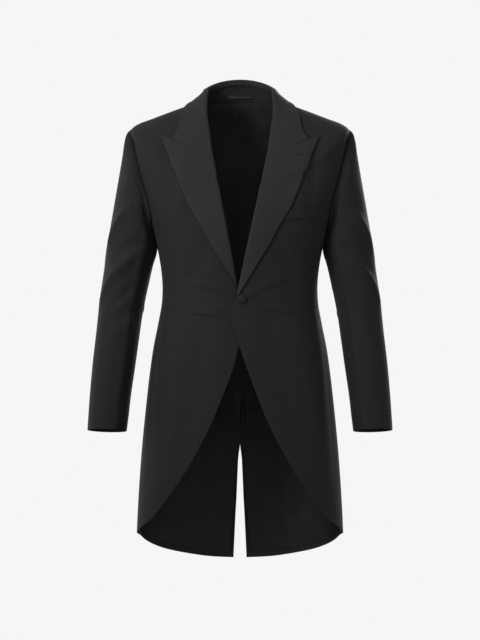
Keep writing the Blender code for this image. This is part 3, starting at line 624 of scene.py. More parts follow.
def along(places, count, first=0, last=-1, start=0.0, end=1.0):
    """count + 1 places, evenly spaced on the form, on a smooth line through the given ones.

    first and last pick the given places that the stretch runs between, and start and end are
    shares of that stretch.
    """
    places = np.array(places, float)
    points = bare_form(places[:, 0], places[:, 1])
    reach = np.concatenate([[0], np.cumsum(np.linalg.norm(np.diff(points, axis=0), axis=1))])
    fine = np.linspace(reach[first], reach[last], FINE_STEPS)
    line = np.stack([smooth_between(reach, places[:, i], fine) for i in (0, 1)], axis=1)
    points = bare_form(line[:, 0], line[:, 1])
    real = np.concatenate([[0], np.cumsum(np.linalg.norm(np.diff(points, axis=0), axis=1))])
    wanted = np.linspace(start, end, count + 1) * real[-1]
    return np.stack([np.interp(wanted, real, line[:, i]) for i in (0, 1)], axis=1)


def joined(*lines):
    """Lines end to end, each one's last place being the next one's first."""
    return np.concatenate([lines[0]] + [line[1:] for line in lines[1:]])


def patch(left, right, bottom, top):
    """Places filling the space between four lines: rows from bottom to top, left to right."""
    up = np.linspace(0, 1, len(left))[:, None, None]
    over = np.linspace(0, 1, len(bottom))[None, :, None]
    corners = (
        (1 - up) * (1 - over) * bottom[0]
        + (1 - up) * over * bottom[-1]
        + up * (1 - over) * top[0]
        + up * over * top[-1]
    )
    between_sides = (1 - over) * left[:, None] + over * right[:, None]
    between_ends = (1 - up) * bottom[None] + up * top[None]
    return between_sides + between_ends - corners


def set_back(line, distance):
    """Places slid along the form, square to a line that runs down the left of the opening."""
    points, normal = on_form(line[:, 0], line[:, 1])
    square = unit(np.cross(normal, np.gradient(points, axis=0)))
    square *= np.reshape(distance, (-1, 1))
    along_turn, along_level = form_slopes(line[:, 0], line[:, 1])
    moved = []
    for place, a, b, step in zip(line, along_turn, along_level, square):
        share, *_ = np.linalg.lstsq(np.stack([a, b], axis=1), step, rcond=None)
        moved.append(place + share)
    return np.array(moved)


# Axis of a grid, and the places of the edge and of the line next to it, for each side
EDGES = {
    "left": (1, 0, 1),
    "right": (1, -1, -2),
    "bottom": (0, 0, 1),
    "top": (0, -1, -2),
}


def drawn_in(outer, inner, sides, distance=SEAM_GAP / 2):
    """Both faces of a wall drawn in from its sides, half the gap between two pieces at a seam."""
    outer, inner = outer.copy(), inner.copy()
    first = outer.copy()
    for side in sides:
        axis, edge, next_in = EDGES[side]
        step = unit(np.take(first, next_in, axis=axis) - np.take(first, edge, axis=axis)) * distance
        for face in (outer, inner):
            np.moveaxis(face, axis, 0)[edge] += step
    return outer, inner


def armhole_places(first, last):
    """Places on the armhole from one step to another, from the shoulder round the front."""
    turns, levels = [], []
    middle = (ARMHOLE_TOP + ARMHOLE_BOTTOM) / 2
    half = (ARMHOLE_TOP - ARMHOLE_BOTTOM) / 2
    for step in range(first, last + 1):
        angle = 2 * math.pi * step / ARMHOLE_STEPS
        base = (ARMHOLE_TOP_TURN + ARMHOLE_BOTTOM_TURN) / 2
        base += (ARMHOLE_TOP_TURN - ARMHOLE_BOTTOM_TURN) / 2 * math.cos(angle)
        bulge = ARMHOLE_FRONT_BULGE if math.sin(angle) > 0 else ARMHOLE_BACK_BULGE
        turns.append(base - bulge * math.sin(angle))
        levels.append(middle + half * math.cos(angle))
    return np.stack([turns, levels], axis=1)


def roll_stations(edge):
    """The edge of collar, lapel and front: from the centre back, round the neck to the waist."""
    crest = [(turn, CREST_LEVEL) for turn in CREST_TURNS]
    return crest + close_stations(ROLL_LINE, edge)


def collar_roll_places():
    """The edge of the collar, from the centre back to the gorge seam."""
    gorge = len(CREST_TURNS) + GORGE_ROW * BETWEEN_ROWS
    return along(roll_stations(LEFT_EDGE), COLLAR_STATIONS, 0, gorge)


def lapel_roll_places(edge):
    """The edge of a lapel, from the gorge seam to where it ends above the button."""
    gorge = len(CREST_TURNS) + GORGE_ROW * BETWEEN_ROWS
    end = len(CREST_TURNS) + (len(ROLL_LINE["x"]) + LAPEL_END_ROW) * BETWEEN_ROWS + LAPEL_LONGER
    return along(roll_stations(edge), LAPEL_STATIONS, gorge, end, 0.0, LAPEL_SHARE)


def gorge_corner():
    """Where the end of the collar meets the lapel's edge."""
    inner = np.array(station(ROLL_LINE["x"][GORGE_ROW], ROLL_LINE["z"][GORGE_ROW]))
    tip = np.array(station(LAPEL_EDGE["x"][0], LAPEL_EDGE["z"][0]))
    return tuple(inner + (tip - inner) * NOTCH_SHARE)


def turned_over(roll, edge, across, stand_off, lap, side=0):
    """Two faces of a collar or lapel: out along the form, round the roll and a little way back."""
    seam = set_back(roll, ROLL_RADIUS)
    base, normal = on_form(seam[:, 0], seam[:, 1], 0.0, lap, side)
    ahead, _ = on_form(roll[:, 0], roll[:, 1], 0.0, lap, side)
    forward = ahead - base
    forward = unit(forward - normal * np.sum(forward * normal, axis=1, keepdims=True))
    centre = base + normal * ROLL_CENTRE
    faces = []
    for radius in (ROLL_RADIUS, ROLL_INNER_RADIUS):
        face = []
        for share in np.linspace(1, 0, across + 1):
            place = seam + (edge - seam) * share
            out = ROLL_CENTRE + radius + stand_off * share**STAND_OFF_RISE
            face.append(on_form(place[:, 0], place[:, 1], out, lap, side)[0])
        for step in range(1, ROLL_STEPS + 1):
            angle = math.pi / 2 - math.pi * step / ROLL_STEPS
            turned = forward * math.cos(angle) + normal * math.sin(angle)
            face.append(centre + turned * radius)
        face.append(centre - normal * radius - forward * FACING_RETURN)
        faces.append(np.stack(face, axis=1))
    return faces


def collar_edge_places():
    """The outer edge of the fall, from the centre back to the notch."""
    back = [(turn, FALL_EDGE_LEVEL) for turn in FALL_TURNS]
    front = [(FALL_SIDE_TURN, FALL_SIDE_LEVEL)] + stations(COLLAR_FRONT_EDGE) + [gorge_corner()]
    return along(back + front, COLLAR_STATIONS)


def neck_front_place():
    """Where the neck seam ends under the roll of the collar."""
    seam = set_back(collar_roll_places(), ROLL_RADIUS)
    falling = seam[seam[:, 1] < (CREST_LEVEL + NECK_SEAM_LEVEL) / 2][::-1]
    return (float(smooth_between(falling[:, 1], falling[:, 0], NECK_SEAM_LEVEL)), NECK_SEAM_LEVEL)


def waist_places(first, last, count):
    """The waist seam between two turns."""
    turns = np.linspace(first, last, count + 1)
    levels = smooth_between(WAIST_SEAM["turn"], WAIST_SEAM["level"], turns)
    return np.stack([turns, levels], axis=1)


def side_seam_places():
    """The seam under the arm, from the waist up to the armhole."""
    rows = list(zip(SIDE_SEAM["turn"], SIDE_SEAM["level"]))
    top = armhole_places(FRONT_SEAM_STEP, FRONT_SEAM_STEP)[0]
    waist = waist_places(rows[0][0], rows[0][0], 1)[0]
    return along([tuple(waist)] + rows[1:] + [tuple(top)], SIDE_ROWS)


def side_back_waist():
    turn = WAIST_SEAM["turn"][-1]
    return tuple(waist_places(turn, turn, 1)[0])


def side_back_stations():
    """The seam beside the back in one line, from the hem up to the armhole."""
    above = stations(SIDE_BACK_SEAM, back=True)[::-1]
    below = stations(SIDE_BACK_SKIRT_SEAM, back=True)[::-1]
    armhole = armhole_places(BACK_SEAM_STEP, BACK_SEAM_STEP)
    return below + [side_back_waist()] + above + [tuple(armhole[0])]


def side_back_places():
    """The curved seam of the back, from the waist up to the armhole."""
    return along(side_back_stations(), SIDE_ROWS, len(SIDE_BACK_SKIRT_SEAM["x"]), -1)


def side_back_skirt_places():
    """The seam between skirt and tail, from the hem up to the waist."""
    return along(side_back_stations(), SKIRT_ROWS, 0, len(SIDE_BACK_SKIRT_SEAM["x"]))


def shoulder_places():
    """The shoulder seam, from the sleeve head up to the neck."""
    return along([(SHOULDER_TURN, ARMHOLE_TOP), (SHOULDER_TURN, NECK_SEAM_LEVEL)], SHOULDER_ROWS)


def neck_places(turns, columns):
    """The neck seam through a few turns."""
    return along([(turn, NECK_SEAM_LEVEL) for turn in turns], columns)


def forepart_places(edge):
    """The chest, from the waist seam to the shoulder and from the front edge to under the arm."""
    armhole = armhole_places(0, FRONT_SEAM_STEP)[::-1]
    right = joined(side_seam_places(), armhole, shoulder_places())
    front = neck_front_place()
    top = neck_places((front[0], (front[0] + SHOULDER_TURN) / 2, SHOULDER_TURN), FOREPART_COLUMNS)
    line = along(roll_stations(edge), ROLL_LENGTHS, len(CREST_TURNS), -1)
    height = bare_form(line[:, 0], line[:, 1])[:, 2]
    seam = set_back(line, ROLL_RADIUS * ease((height - ROLL_BREAK) / ROLL_BREAK_LENGTH))
    seam = np.concatenate([top[:1], seam[seam[:, 1] < NECK_SEAM_LEVEL - 1]])
    left = along(seam, len(right) - 1)[::-1]
    bottom = waist_places(left[0][0], right[0][0], FOREPART_COLUMNS)
    left[0] = bottom[0]
    return patch(left, right, bottom, top)


def side_body_places():
    """Under the arm, from the waist seam to the bottom of the armhole."""
    left, right = side_seam_places(), side_back_places()
    bottom = waist_places(left[0][0], right[0][0], SIDE_BODY_COLUMNS)
    return patch(left, right, bottom, armhole_places(FRONT_SEAM_STEP, BACK_SEAM_STEP))


def skirt_places(of_side):
    """From the waist seam to the hem, and from the cutaway edge round to the back."""
    start = forepart_places(of_side.front_edge)[0]
    side = waist_places(SIDE_SEAM["turn"][0], WAIST_SEAM["turn"][-1], SIDE_BODY_COLUMNS)
    top = joined(start, side)
    edge = stations(of_side.skirt_edge)[1:] + stations(CUTAWAY)
    front = [tuple(top[0])] + edge + [CUTAWAY_CORNER]
    left = along(front, SKIRT_ROWS)[::-1]
    bottom = along([CUTAWAY_CORNER] + stations(SKIRT_HEM, back=True), len(top) - 1)
    return patch(left, side_back_skirt_places(), bottom, top)


def back_places():
    """From the neck to the hem, with the centre seam open below the top of the vent."""
    armhole = armhole_places(BACK_SEAM_STEP, ARMHOLE_STEPS)
    left = joined(side_back_skirt_places(), side_back_places(), armhole, shoulder_places())
    vent = stations(VENT_EDGE, back=True)[::-1]
    centre = vent + [(180, VENT_TOP), (180, BACK_WAIST_LEVEL), (180, NECK_SEAM_LEVEL)]
    right = along(centre, len(left) - 1)
    right[:, 0] = np.minimum(right[:, 0], 180)
    bottom = along(stations(BACK_HEM, back=True), BACK_COLUMNS)
    top = neck_places((SHOULDER_TURN, NECK_BACK_TURN, 180), BACK_COLUMNS)
    return patch(left, right, bottom, top)


def whole_from_half(half):
    """Rows of points for both halves, from one half whose first row lies on the centre."""
    other = half[:0:-1].copy()
    other[..., 0] *= -1
    middle = half[0].copy()
    middle[..., 0] = 0
    return np.concatenate([other, middle[None], half[1:]])


def sleeve_rings(at):
    """Centre, outward reach and forward reach of the sleeve at rows of its table."""
    rows = np.arange(len(SLEEVE["depth"]))
    size = {name: smooth_between(rows, values, at) for name, values in SLEEVE.items()}
    none = np.zeros_like(size["depth"])
    outer = np.stack([size["outer_x"], none, size["outer_z"]], axis=-1)
    inner = np.stack([size["inner_x"], none, size["inner_z"]], axis=-1)
    centre = (outer + inner) / 2
    centre[..., 1] = size["centre_y"]
    forward = np.stack([none, -size["depth"] / 2, size["front_lift"]], axis=-1)
    return centre, (outer - inner) / 2, forward


def sleeve_fold_height(folds, ring, around):
    """The height of the sleeve's folds at a ring and at degrees round from its outer edge."""
    ring, around = np.broadcast_arrays(ring, around)
    total = np.zeros(ring.shape)
    for fold in rows_of(folds):
        down = (fold["ring_end"] - fold["ring_start"]) * RING_PITCH
        run = np.array([down, (fold["around_end"] - fold["around_start"]) * DEGREE_PITCH])
        there = (around - fold["around_start"] + 180) % 360 - 180
        place = np.stack([(ring - fold["ring_start"]) * RING_PITCH, there * DEGREE_PITCH], axis=-1)
        share = np.clip(place @ run / (run @ run), 0, 1)
        away = np.linalg.norm(place - share[..., None] * run, axis=-1)
        across = np.exp(-((away / (fold["width"] / 2)) ** 2))
        total += fold["height"] * across * np.sin(np.pi * (FOLD_END + (1 - 2 * FOLD_END) * share))
    return total


def sleeve_faces(creases):
    """Outer and inner points of the whole sleeve: rings down, steps round from the shoulder."""
    steps = np.arange(ARMHOLE_STEPS)
    angle = 2 * np.pi * steps / ARMHOLE_STEPS
    rings = np.linspace(0, len(SLEEVE["depth"]) - 1, SLEEVE_RINGS + 1)
    centre, across, forward = sleeve_rings(rings)
    points = (
        centre[:, None]
        + across[:, None] * np.cos(angle)[None, :, None]
        + forward[:, None] * np.sin(angle)[None, :, None]
    )
    places = armhole_places(0, ARMHOLE_STEPS - 1)
    seam, normal = on_form(places[:, 0], places[:, 1])
    settles = (1 - np.clip(rings / ARMHOLE_REACH, 0, 1)) ** 2
    points += settles[:, None, None] * (seam - points[0])[None]
    down = np.gradient(points, axis=0)
    round_ = np.roll(points, -1, axis=1) - np.roll(points, 1, axis=1)
    outward = unit(np.cross(down, round_))
    outward *= np.sign(np.sum(outward * (points - centre[:, None]), axis=-1, keepdims=True))
    degrees = np.degrees(angle)[None]
    height = sleeve_fold_height(SLEEVE_FOLDS, rings[:, None], degrees)
    height = height + sleeve_fold_height(creases, rings[:, None], degrees)
    points = points + outward * height[..., None]
    inside = points - outward * CLOTH_WALL
    along_seam = unit(np.roll(seam, -1, axis=0) - np.roll(seam, 1, axis=0))
    into_hole = unit(np.cross(normal, along_seam))
    middle = seam.mean(axis=0)
    into_hole *= np.sign(np.sum(into_hole * (middle - seam), axis=-1, keepdims=True))
    turned = (np.pi * ease(-np.cos(angle)))[:, None]
    points[0] = seam + (into_hole * np.cos(turned / 2) + normal * np.sin(turned / 2)) * ARMHOLE_GAP
    inside[0] = points[0] + CLOTH_WALL * (into_hole * np.sin(turned) - normal * np.cos(turned))
    return points, inside


def fold_path(fold):
    """Points along the foot of one fold, on the bare form."""
    share = np.linspace(0, 1, FOLD_STEPS)[:, None]
    ends = [np.array([fold["x" + end], fold["z" + end]]) for end in "012"]
    bend = 2 * ends[1] - (ends[0] + ends[2]) / 2
    line = (1 - share) ** 2 * ends[0] + 2 * share * (1 - share) * bend + share**2 * ends[2]
    places = np.array([station(abs(x), z, fold["behind"] > 0) for x, z in line])
    points = bare_form(places[:, 0], places[:, 1])
    points[:, 0] *= np.where(line[:, 0] < 0, -1, 1)
    return points


def fold_rows(folds):
    """The path, width and height of each row of a table of folds."""
    return [(fold_path(fold), fold["width"], fold["height"]) for fold in rows_of(folds)]


BODY_FOLD_ROWS = fold_rows(BODY_FOLDS)
LINING_FOLD_ROWS = fold_rows(LINING_FOLDS)


def height_over(rows, points):
    """How far folds push points of the form outwards: each rises and dies away along its length."""
    flat = points.reshape(-1, 3)
    total = np.zeros(len(flat))
    for path, width, height in rows:
        low, high = path.min(axis=0) - 2 * width, path.max(axis=0) + 2 * width
        near = np.all((flat > low) & (flat < high), axis=1)
        if not near.any():
            continue
        runs = np.diff(path, axis=0)
        away = flat[near][:, None] - path[None, :-1]
        share = np.clip(np.sum(away * runs, axis=2) / np.sum(runs * runs, axis=1), 0, 1)
        gap = np.linalg.norm(away - share[..., None] * runs, axis=2)
        nearest = gap.argmin(axis=1)
        pick = np.arange(len(nearest))
        along_it = (nearest + share[pick, nearest]) / len(runs)
        swell = np.sin(np.pi * (FOLD_END + (1 - 2 * FOLD_END) * along_it))
        total[near] += height * swell * np.exp(-((gap[pick, nearest] / (width / 2)) ** 2))
    return total.reshape(points.shape[:-1])


def body_fold_height(points):
    """The folds of the coat's body at points of the form."""
    return sizes().fold_share * height_over(BODY_FOLD_ROWS, points)


def sizes():
    return bpy.context.scene.coat_sizes


def colours():
    return bpy.context.scene.coat_colours


def with_line_near(grid, side, reach):
    """A grid with one more row or column, a short way in from one side."""
    axis, edge, next_in = EDGES[side]
    first, second = np.take(grid, edge, axis=axis), np.take(grid, next_in, axis=axis)
    gap = np.linalg.norm(second - first, axis=-1, keepdims=True)
    line = first + (second - first) * np.minimum(reach / np.maximum(gap, 1e-6), 0.5)
    place = 1 if edge == 0 else grid.shape[axis] - 1
    return np.insert(grid, place, line, axis=axis)


def edged(outer, inner, seams, turned):
    """Both faces of a wall, dipping into its seams and rounded over at its turned edges.

    A seam's dip is on the outer face alone; a turned edge is the fold of the cloth itself.
    """
    for side in (*seams, *turned):
        wide = sizes().seam_width / MM
        for reach in (wide, wide * NARROW_SHARE):
            outer, inner = with_line_near(outer, side, reach), with_line_near(inner, side, reach)
        axis, edge, next_in = EDGES[side]
        across = unit(outer - inner)
        for place, share in ((edge, 1.0), (next_in, SHOULDER_SHARE)):
            spot = (slice(None), place) if axis == 1 else (place, slice(None))
            if side in seams:
                outer[spot] -= across[spot] * share * sizes().seam_depth / MM
            else:
                round_off = share * sizes().edge_round / MM
                outer[spot] -= across[spot] * round_off
                inner[spot] += across[spot] * round_off
    return outer, inner


def measured(outer):
    """Distances along and across the cloth from the middle of a grid, and its flat size."""
    over = np.linalg.norm(np.diff(outer, axis=1), axis=2)
    up = np.linalg.norm(np.diff(outer, axis=0), axis=2)
    u = np.concatenate([np.zeros((len(outer), 1)), np.cumsum(over, axis=1)], axis=1)
    v = np.concatenate([np.zeros((1, outer.shape[1])), np.cumsum(up, axis=0)])
    u -= u[:, [outer.shape[1] // 2]]
    v -= v[[len(outer) // 2]]
    return u, v, (np.ptp(u, axis=1).max(), np.ptp(v, axis=0).max())


def wall(name, outer, inner, mirrored, material, across_first=False):
    """One closed body of cloth between two grids of points, laid out flat on its UV map."""
    rows, columns = outer.shape[:2]
    index = np.arange(rows * columns).reshape(rows, columns)
    behind = index + rows * columns
    quads = []
    for grid, turned in ((index, False), (behind, True)):
        corners = [grid[:-1, :-1], grid[:-1, 1:], grid[1:, 1:], grid[1:, :-1]]
        quads.append(np.stack(corners[::-1] if turned else corners, axis=-1).reshape(-1, 4))
    rim = np.concatenate([index[0, :-1], index[:-1, -1], index[-1, :0:-1], index[:0:-1, 0]])
    after = np.roll(rim, -1)
    quads.append(np.stack([rim, rim + rows * columns, after + rows * columns, after], axis=-1))
    points = np.concatenate([outer.reshape(-1, 3), inner.reshape(-1, 3)]) * MM
    if mirrored:
        points[:, 0] *= -1
    mesh = bpy.data.meshes.new(name)
    mesh.from_pydata(points.tolist(), [], np.concatenate(quads).tolist())
    shape = bmesh.new()
    shape.from_mesh(mesh)
    bmesh.ops.recalc_face_normals(shape, faces=shape.faces)
    shape.to_mesh(mesh)
    shape.free()
    u, v, flat = measured(outer)
    if across_first:
        u, v = v, u
    spots = np.tile(np.stack([u.ravel(), v.ravel()], axis=1) * MM, (2, 1))
    corner_of = np.empty(len(mesh.loops), int)
    mesh.loops.foreach_get("vertex_index", corner_of)
    layer = mesh.uv_layers.new(name=CLOTH_MAP)
    layer.data.foreach_set("uv", spots[corner_of].ravel())
    mesh.materials.append(material)
    mesh.shade_smooth()
    mesh.set_sharp_from_angle(angle=math.radians(SHARP_ANGLE))
    thing = bpy.data.objects.new(name, mesh)
    bpy.context.collection.objects.link(thing)
    return thing, [length * MM for length in flat]


def outer_area(outer):
    """The area of a grid of points, in square metres."""
    first = np.cross(outer[1:, :-1] - outer[:-1, :-1], outer[:-1, 1:] - outer[:-1, :-1])
    second = np.cross(outer[:-1, 1:] - outer[1:, 1:], outer[1:, :-1] - outer[1:, 1:])
    total = np.linalg.norm(first, axis=-1).sum() + np.linalg.norm(second, axis=-1).sum()
    return total / 2 * MM * MM


def dress(thing, node):
    """Puts a piece in the place of one solid of the coat."""
    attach(thing, BODY_NAME)
    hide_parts(node)


def cloth(node, outer, inner, mirrored, material, slot, held, rests_on, across_first=False):
    """Makes a sheet of cloth that stands for one solid of the coat."""
    thing, flat = wall(node + "_cloth", outer, inner, mirrored, material, across_first)
    dress(thing, node)
    area = min(outer_area(outer), flat[0] * flat[1])
    return thing


def named(parts, side):
    """The nodes of one side of the coat, or of its middle where the name is whole already."""
    return [part + side.name if part.endswith("_") else part for part in parts]


def panel(side, part, places, rests_on, seams, turned, lap=0):
    """A panel of worsted over the places of a patch."""
    outer, normal = on_form(places[..., 0], places[..., 1], 0.0, lap, side.lap)
    faces = drawn_in(outer, outer - normal * CLOTH_WALL, (*seams, *turned))
    faces = edged(*faces, seams, turned)
    return cloth(
        part + side.name, *faces, side.mirrored, body_cloth(), "worsted", "hung",
        named(rests_on, side),
    )


def trimmed(faces, side, distance):
    """Both faces of a wall cut back from one side, or let out past it, and spread out evenly."""
    axis, edge, _ = EDGES[side]
    lines = [np.moveaxis(np.flip(face, axis) if edge else face, axis, 1) for face in faces]
    gaps = np.linalg.norm(np.diff(lines[0], axis=1), axis=2)
    reach = np.concatenate([np.zeros((len(gaps), 1)), np.cumsum(gaps, axis=1)], axis=1)
    distance = np.broadcast_to(distance, len(reach))
    cut = []
    for face in lines:
        made = np.empty_like(face)
        for i, far in enumerate(reach):
            wanted = distance[i] + far * (1 - distance[i] / far[-1])
            for part in range(3):
                made[i, :, part] = np.interp(wanted, far, face[i, :, part])
            made[i, 0] += unit(face[i, 0] - face[i, 1]) * max(-distance[i], 0)
        made = np.moveaxis(made, 1, axis)
        cut.append(np.flip(made, axis) if edge else made)
    return cut


def tucked_in(outer, inner):
    """A sleeve with its seam allowance, which lies inside the armhole."""
    inwards = unit(outer[0].mean(axis=0) - outer[0]) * TUCK_DEPTH
    upwards = unit(outer[0] - outer[2]) * TUCK_LENGTH
    rows = [face[:1] + share * (inwards + upwards) for face in (outer, inner) for share in (1, 0.5)]
    return (
        np.concatenate([rows[0], rows[1], outer]),
        np.concatenate([rows[2], rows[3], inner]),
    )


def lining(side, part, places, behind, lap=0):
    """A lining inside a panel, loose enough to have folds of its own.

    behind says how far it stops short of the panel at its back edge.
    """
    bare = bare_form(places[..., 0], places[..., 1]) * (side.lap, 1, 1)
    loose = sizes().fold_share * height_over(LINING_FOLD_ROWS, bare)
    out = -CLOTH_WALL - LINING_CLEARANCE + loose
    outer, normal = on_form(places[..., 0], places[..., 1], out, lap, side.lap)
    faces = outer, outer - normal * LINING_WALL
    for edge, margin in zip(EDGES, (SEAM_GAP, behind, HEM_FACING, SEAM_GAP)):
        faces = trimmed(faces, edge, margin)
    node = part + "lining_" + side.name
    return cloth(node, *faces, side.mirrored, lining_cloth(), "lining", "hung", [part + side.name])


class Nodes:
    """A tree of nodes that is built up one node at a time."""

    def __init__(self, tree):
        self.tree = tree

    def node(self, kind, settings=None, values=None):
        """Adds a node: its settings first, then the values or links of its sockets."""
        made = self.tree.nodes.new(kind)
        for name, setting in (settings or {}).items():
            setattr(made, name, setting)
        self.fill(made, values or {})
        return made

    def fill(self, node, values):
        """Sets or links the sockets of a node."""
        for name, value in values.items():
            value = getattr(value, "socket", value)
            if isinstance(value, bpy.types.NodeSocket):
                self.tree.links.new(value, node.inputs[name])
            else:
                node.inputs[name].default_value = value


class Amount:
    """A number that changes over a surface; sums and products of it add Math nodes."""

    def __init__(self, recipe, socket):
        self.recipe = recipe
        self.socket = socket

    def maths(self, operation, *amounts):
        node = self.recipe.node("ShaderNodeMath", {"operation": operation}, dict(enumerate(amounts)))
        return Amount(self.recipe, node.outputs[0])

    def __add__(self, other):
        return self.maths("ADD", self, other)

    def __radd__(self, other):
        return self.maths("ADD", other, self)

    def __sub__(self, other):
        return self.maths("SUBTRACT", self, other)

    def __rsub__(self, other):
        return self.maths("SUBTRACT", other, self)

    def __mul__(self, other):
        return self.maths("MULTIPLY", self, other)

    def __rmul__(self, other):
        return self.maths("MULTIPLY", other, self)

    def clamped(self):
        """The same amount, kept from 0 to 1."""
        return self.maths("MINIMUM", self.maths("MAXIMUM", self, 0.0), 1.0)

    def wave(self, pitch):
        """A sine wave over this distance, from -1 to 1."""
        return self.maths("SINE", self * (2 * math.pi / pitch))


class Recipe(Nodes):
    """A material built up node by node."""

    def __init__(self, name):
        self.material = bpy.data.materials.new(name)
        self.material.use_nodes = True
        super().__init__(self.material.node_tree)

    def finished(self, values):
        """The material, with the values and links of its shader."""
        self.fill(self.tree.nodes["Principled BSDF"], values)
        return self.material

    def place(self):
        """The point on the piece, in metres from the coat's origin."""
        return self.node("ShaderNodeTexCoord").outputs["Object"]

    def parts(self, vector):
        """The three numbers of a vector."""
        split = self.node("ShaderNodeSeparateXYZ", values={0: vector})
        return [Amount(self, socket) for socket in split.outputs]

    def on_cloth(self):
        """Distances across and along the cloth, in metres."""
        return self.parts(self.node("ShaderNodeUVMap", {"uv_map": CLOTH_MAP}).outputs[0])[:2]

    def distance(self):
        """How far a place is from the coat's origin, in metres."""
        made = self.node("ShaderNodeVectorMath", {"operation": "LENGTH"}, {0: self.place()})
        return Amount(self, made.outputs["Value"])

    def mottle(self, size, detail, rough):
        """A soft uneven pattern, its patches about size metres wide, from 0 to 1."""
        values = {"Vector": self.place(), "Scale": 1 / size, "Detail": detail, "Roughness": rough}
        return Amount(self, self.node("ShaderNodeTexNoise", values=values).outputs[0])

    def blend(self, share, first, second):
        """A colour between two others."""
        values = {0: share, 6: first, 7: second}
        return self.node("ShaderNodeMix", {"data_type": "RGBA"}, values).outputs[2]

    def bump(self, height, depth, under=None):
        """A normal that follows a height, depth metres at most, on top of another normal."""
        values = {"Height": height, "Distance": depth}
        if under is not None:
            values["Normal"] = under
        return self.node("ShaderNodeBump", values=values).outputs[0]


def shade(colour, share):
    """A colour made lighter or darker, as the four values of a socket."""
    return (*[channel * share for channel in colour], 1.0)


def made_once(name, maker, *values):
    """The material of that name, made when it is first asked for."""
    return bpy.data.materials.get(name) or maker(name, *values)


def twill(recipe, pitch):
    """The weave of the worsted: steep ribs with threads across them, from 0 to 1."""
    across, along_it = recipe.on_cloth()
    ribs = (across * RIB_LEAN + along_it).wave(pitch)
    threads = (across - along_it * THREAD_LEAN).wave(pitch / THREADS_PER_RIB)
    return ribs * RIB_SHARE + threads * THREAD_SHARE + 0.5


def worsted(name, colour, rough, nap):
    """Fine wool cloth: a close twill, a little loose fibre and a soft uneven depth of dye."""
    recipe = Recipe(name)
    weave = twill(recipe, sizes().weave_pitch)
    fibre = recipe.mottle(FIBRE_SIZE, detail=2.0, rough=0.7)
    cloudy = recipe.mottle(CLOUD_SIZE, detail=3.0, rough=0.5)
    share = weave * WEAVE_DYE_SHARE + fibre * FIBRE_DYE_SHARE + cloudy * CLOUD_DYE_SHARE
    dyed = [shade(colour, dye) for dye in WORSTED_DYE]
    return recipe.finished({
        "Base Color": recipe.blend(share.clamped(), *dyed),
        "Roughness": (cloudy * ROUGHNESS_RANGE + (rough - ROUGHNESS_RANGE / 2)).clamped(),
        "Normal": recipe.bump(weave * WEAVE_RELIEF + fibre * FIBRE_RELIEF, WEAVE_DEPTH),
        "Specular IOR Level": WORSTED_GLOSS,
        "Sheen Weight": nap,
        "Sheen Roughness": NAP_ROUGHNESS,
        "Sheen Tint": NAP_TINT,
    })


def satin(name, colour):
    """Lining: a smooth satin weave with long floats, with painted shade making it darker down inside the
    skirts and tails.
    """
    recipe = Recipe(name)
    across, _ = recipe.on_cloth()
    _, _, height = recipe.parts(recipe.place())
    floats = across.wave(LINING_PITCH) * 0.5 + 0.5
    cloudy = recipe.mottle(CLOUD_SIZE, detail=2.0, rough=0.5)
    pucker = recipe.mottle(PUCKER_SIZE, detail=2.0, rough=0.45)
    # Painted shade: the lining's colour blends into a darker copy towards the bottom of the skirts and
    # tails
    out_of_painted_shade = ((height - PAINTED_SHADE_BOTTOM) * (1 / PAINTED_SHADE_FADE)).clamped()
    share = (floats * FLOAT_DYE_SHARE + cloudy * (1 - FLOAT_DYE_SHARE)).clamped()
    # An unshaded copy and a painted-shade copy of the lining colour
    unshaded_colour, painted_shade_colour = (
        recipe.blend(share, *[shade(colour, dye * depth) for dye in LINING_DYE])
        for depth in (1.0, TAIL_PAINTED_SHADE)
    )
    return recipe.finished({
        "Base Color": recipe.blend(out_of_painted_shade, painted_shade_colour, unshaded_colour),
        "Roughness": (cloudy * LINING_ROUGHNESS_RANGE + LINING_ROUGHNESS).clamped(),
        "Normal": recipe.bump(floats, FLOAT_DEPTH, recipe.bump(pucker, PUCKER_DEPTH)),
        "Specular IOR Level": LINING_GLOSS,
    })


def thread(name, colour):
    """Twisted silk thread."""
    recipe = Recipe(name)
    x, _, z = recipe.parts(recipe.place())
    twist = (x + z).wave(THREAD_TWIST) * 0.5 + 0.5
    return recipe.finished({
        "Base Color": recipe.blend(twist, *[shade(colour, dye) for dye in THREAD_DYE]),
        "Roughness": twist * THREAD_ROUGHNESS_RANGE + THREAD_ROUGHNESS,
        "Normal": recipe.bump(twist, THREAD_DEPTH),
        "Specular IOR Level": THREAD_GLOSS,
    })


def paper(name):
    """Plain pale paper for the floor, fading away into the backdrop."""
    recipe = Recipe(name)
    speck = recipe.mottle(PAPER_SPECK, detail=2.0, rough=0.5)
    return recipe.finished({
        "Base Color": recipe.blend(speck, *[shade((1, 1, 1), pale) for pale in PAPER_PALE]),
        "Roughness": speck * PAPER_ROUGHNESS_RANGE + PAPER_ROUGHNESS,
        "Specular IOR Level": 0.0,
        "Alpha": ((FLOOR_FADES_AT - recipe.distance()) * (1 / FLOOR_FADE)).clamped(),
    })


def body_cloth():
    return made_once("black_worsted", worsted, colours().cloth, *BODY_FINISH)


def lapel_cloth():
    return made_once("pressed_worsted", worsted, colours().lapel, *LAPEL_FINISH)


def lining_cloth():
    return made_once("lining_satin", satin, colours().lining)


def silk_thread():
    return made_once("silk_thread", thread, colours().thread)


def button_cloth():
    return made_once("button_cover", worsted, colours().button, *BUTTON_FINISH)


def length_setting(name, description, default, least, most):
    """A length that a user can change, in metres."""
    return FloatProperty(
        name=name, description=description, default=default, min=least, max=most, unit="LENGTH"
    )


def colour_setting(name, description, *default):
    """A colour that a user can change."""
    return FloatVectorProperty(
        name=name, description=description, default=default, min=0.0, max=1.0, subtype="COLOR"
    )


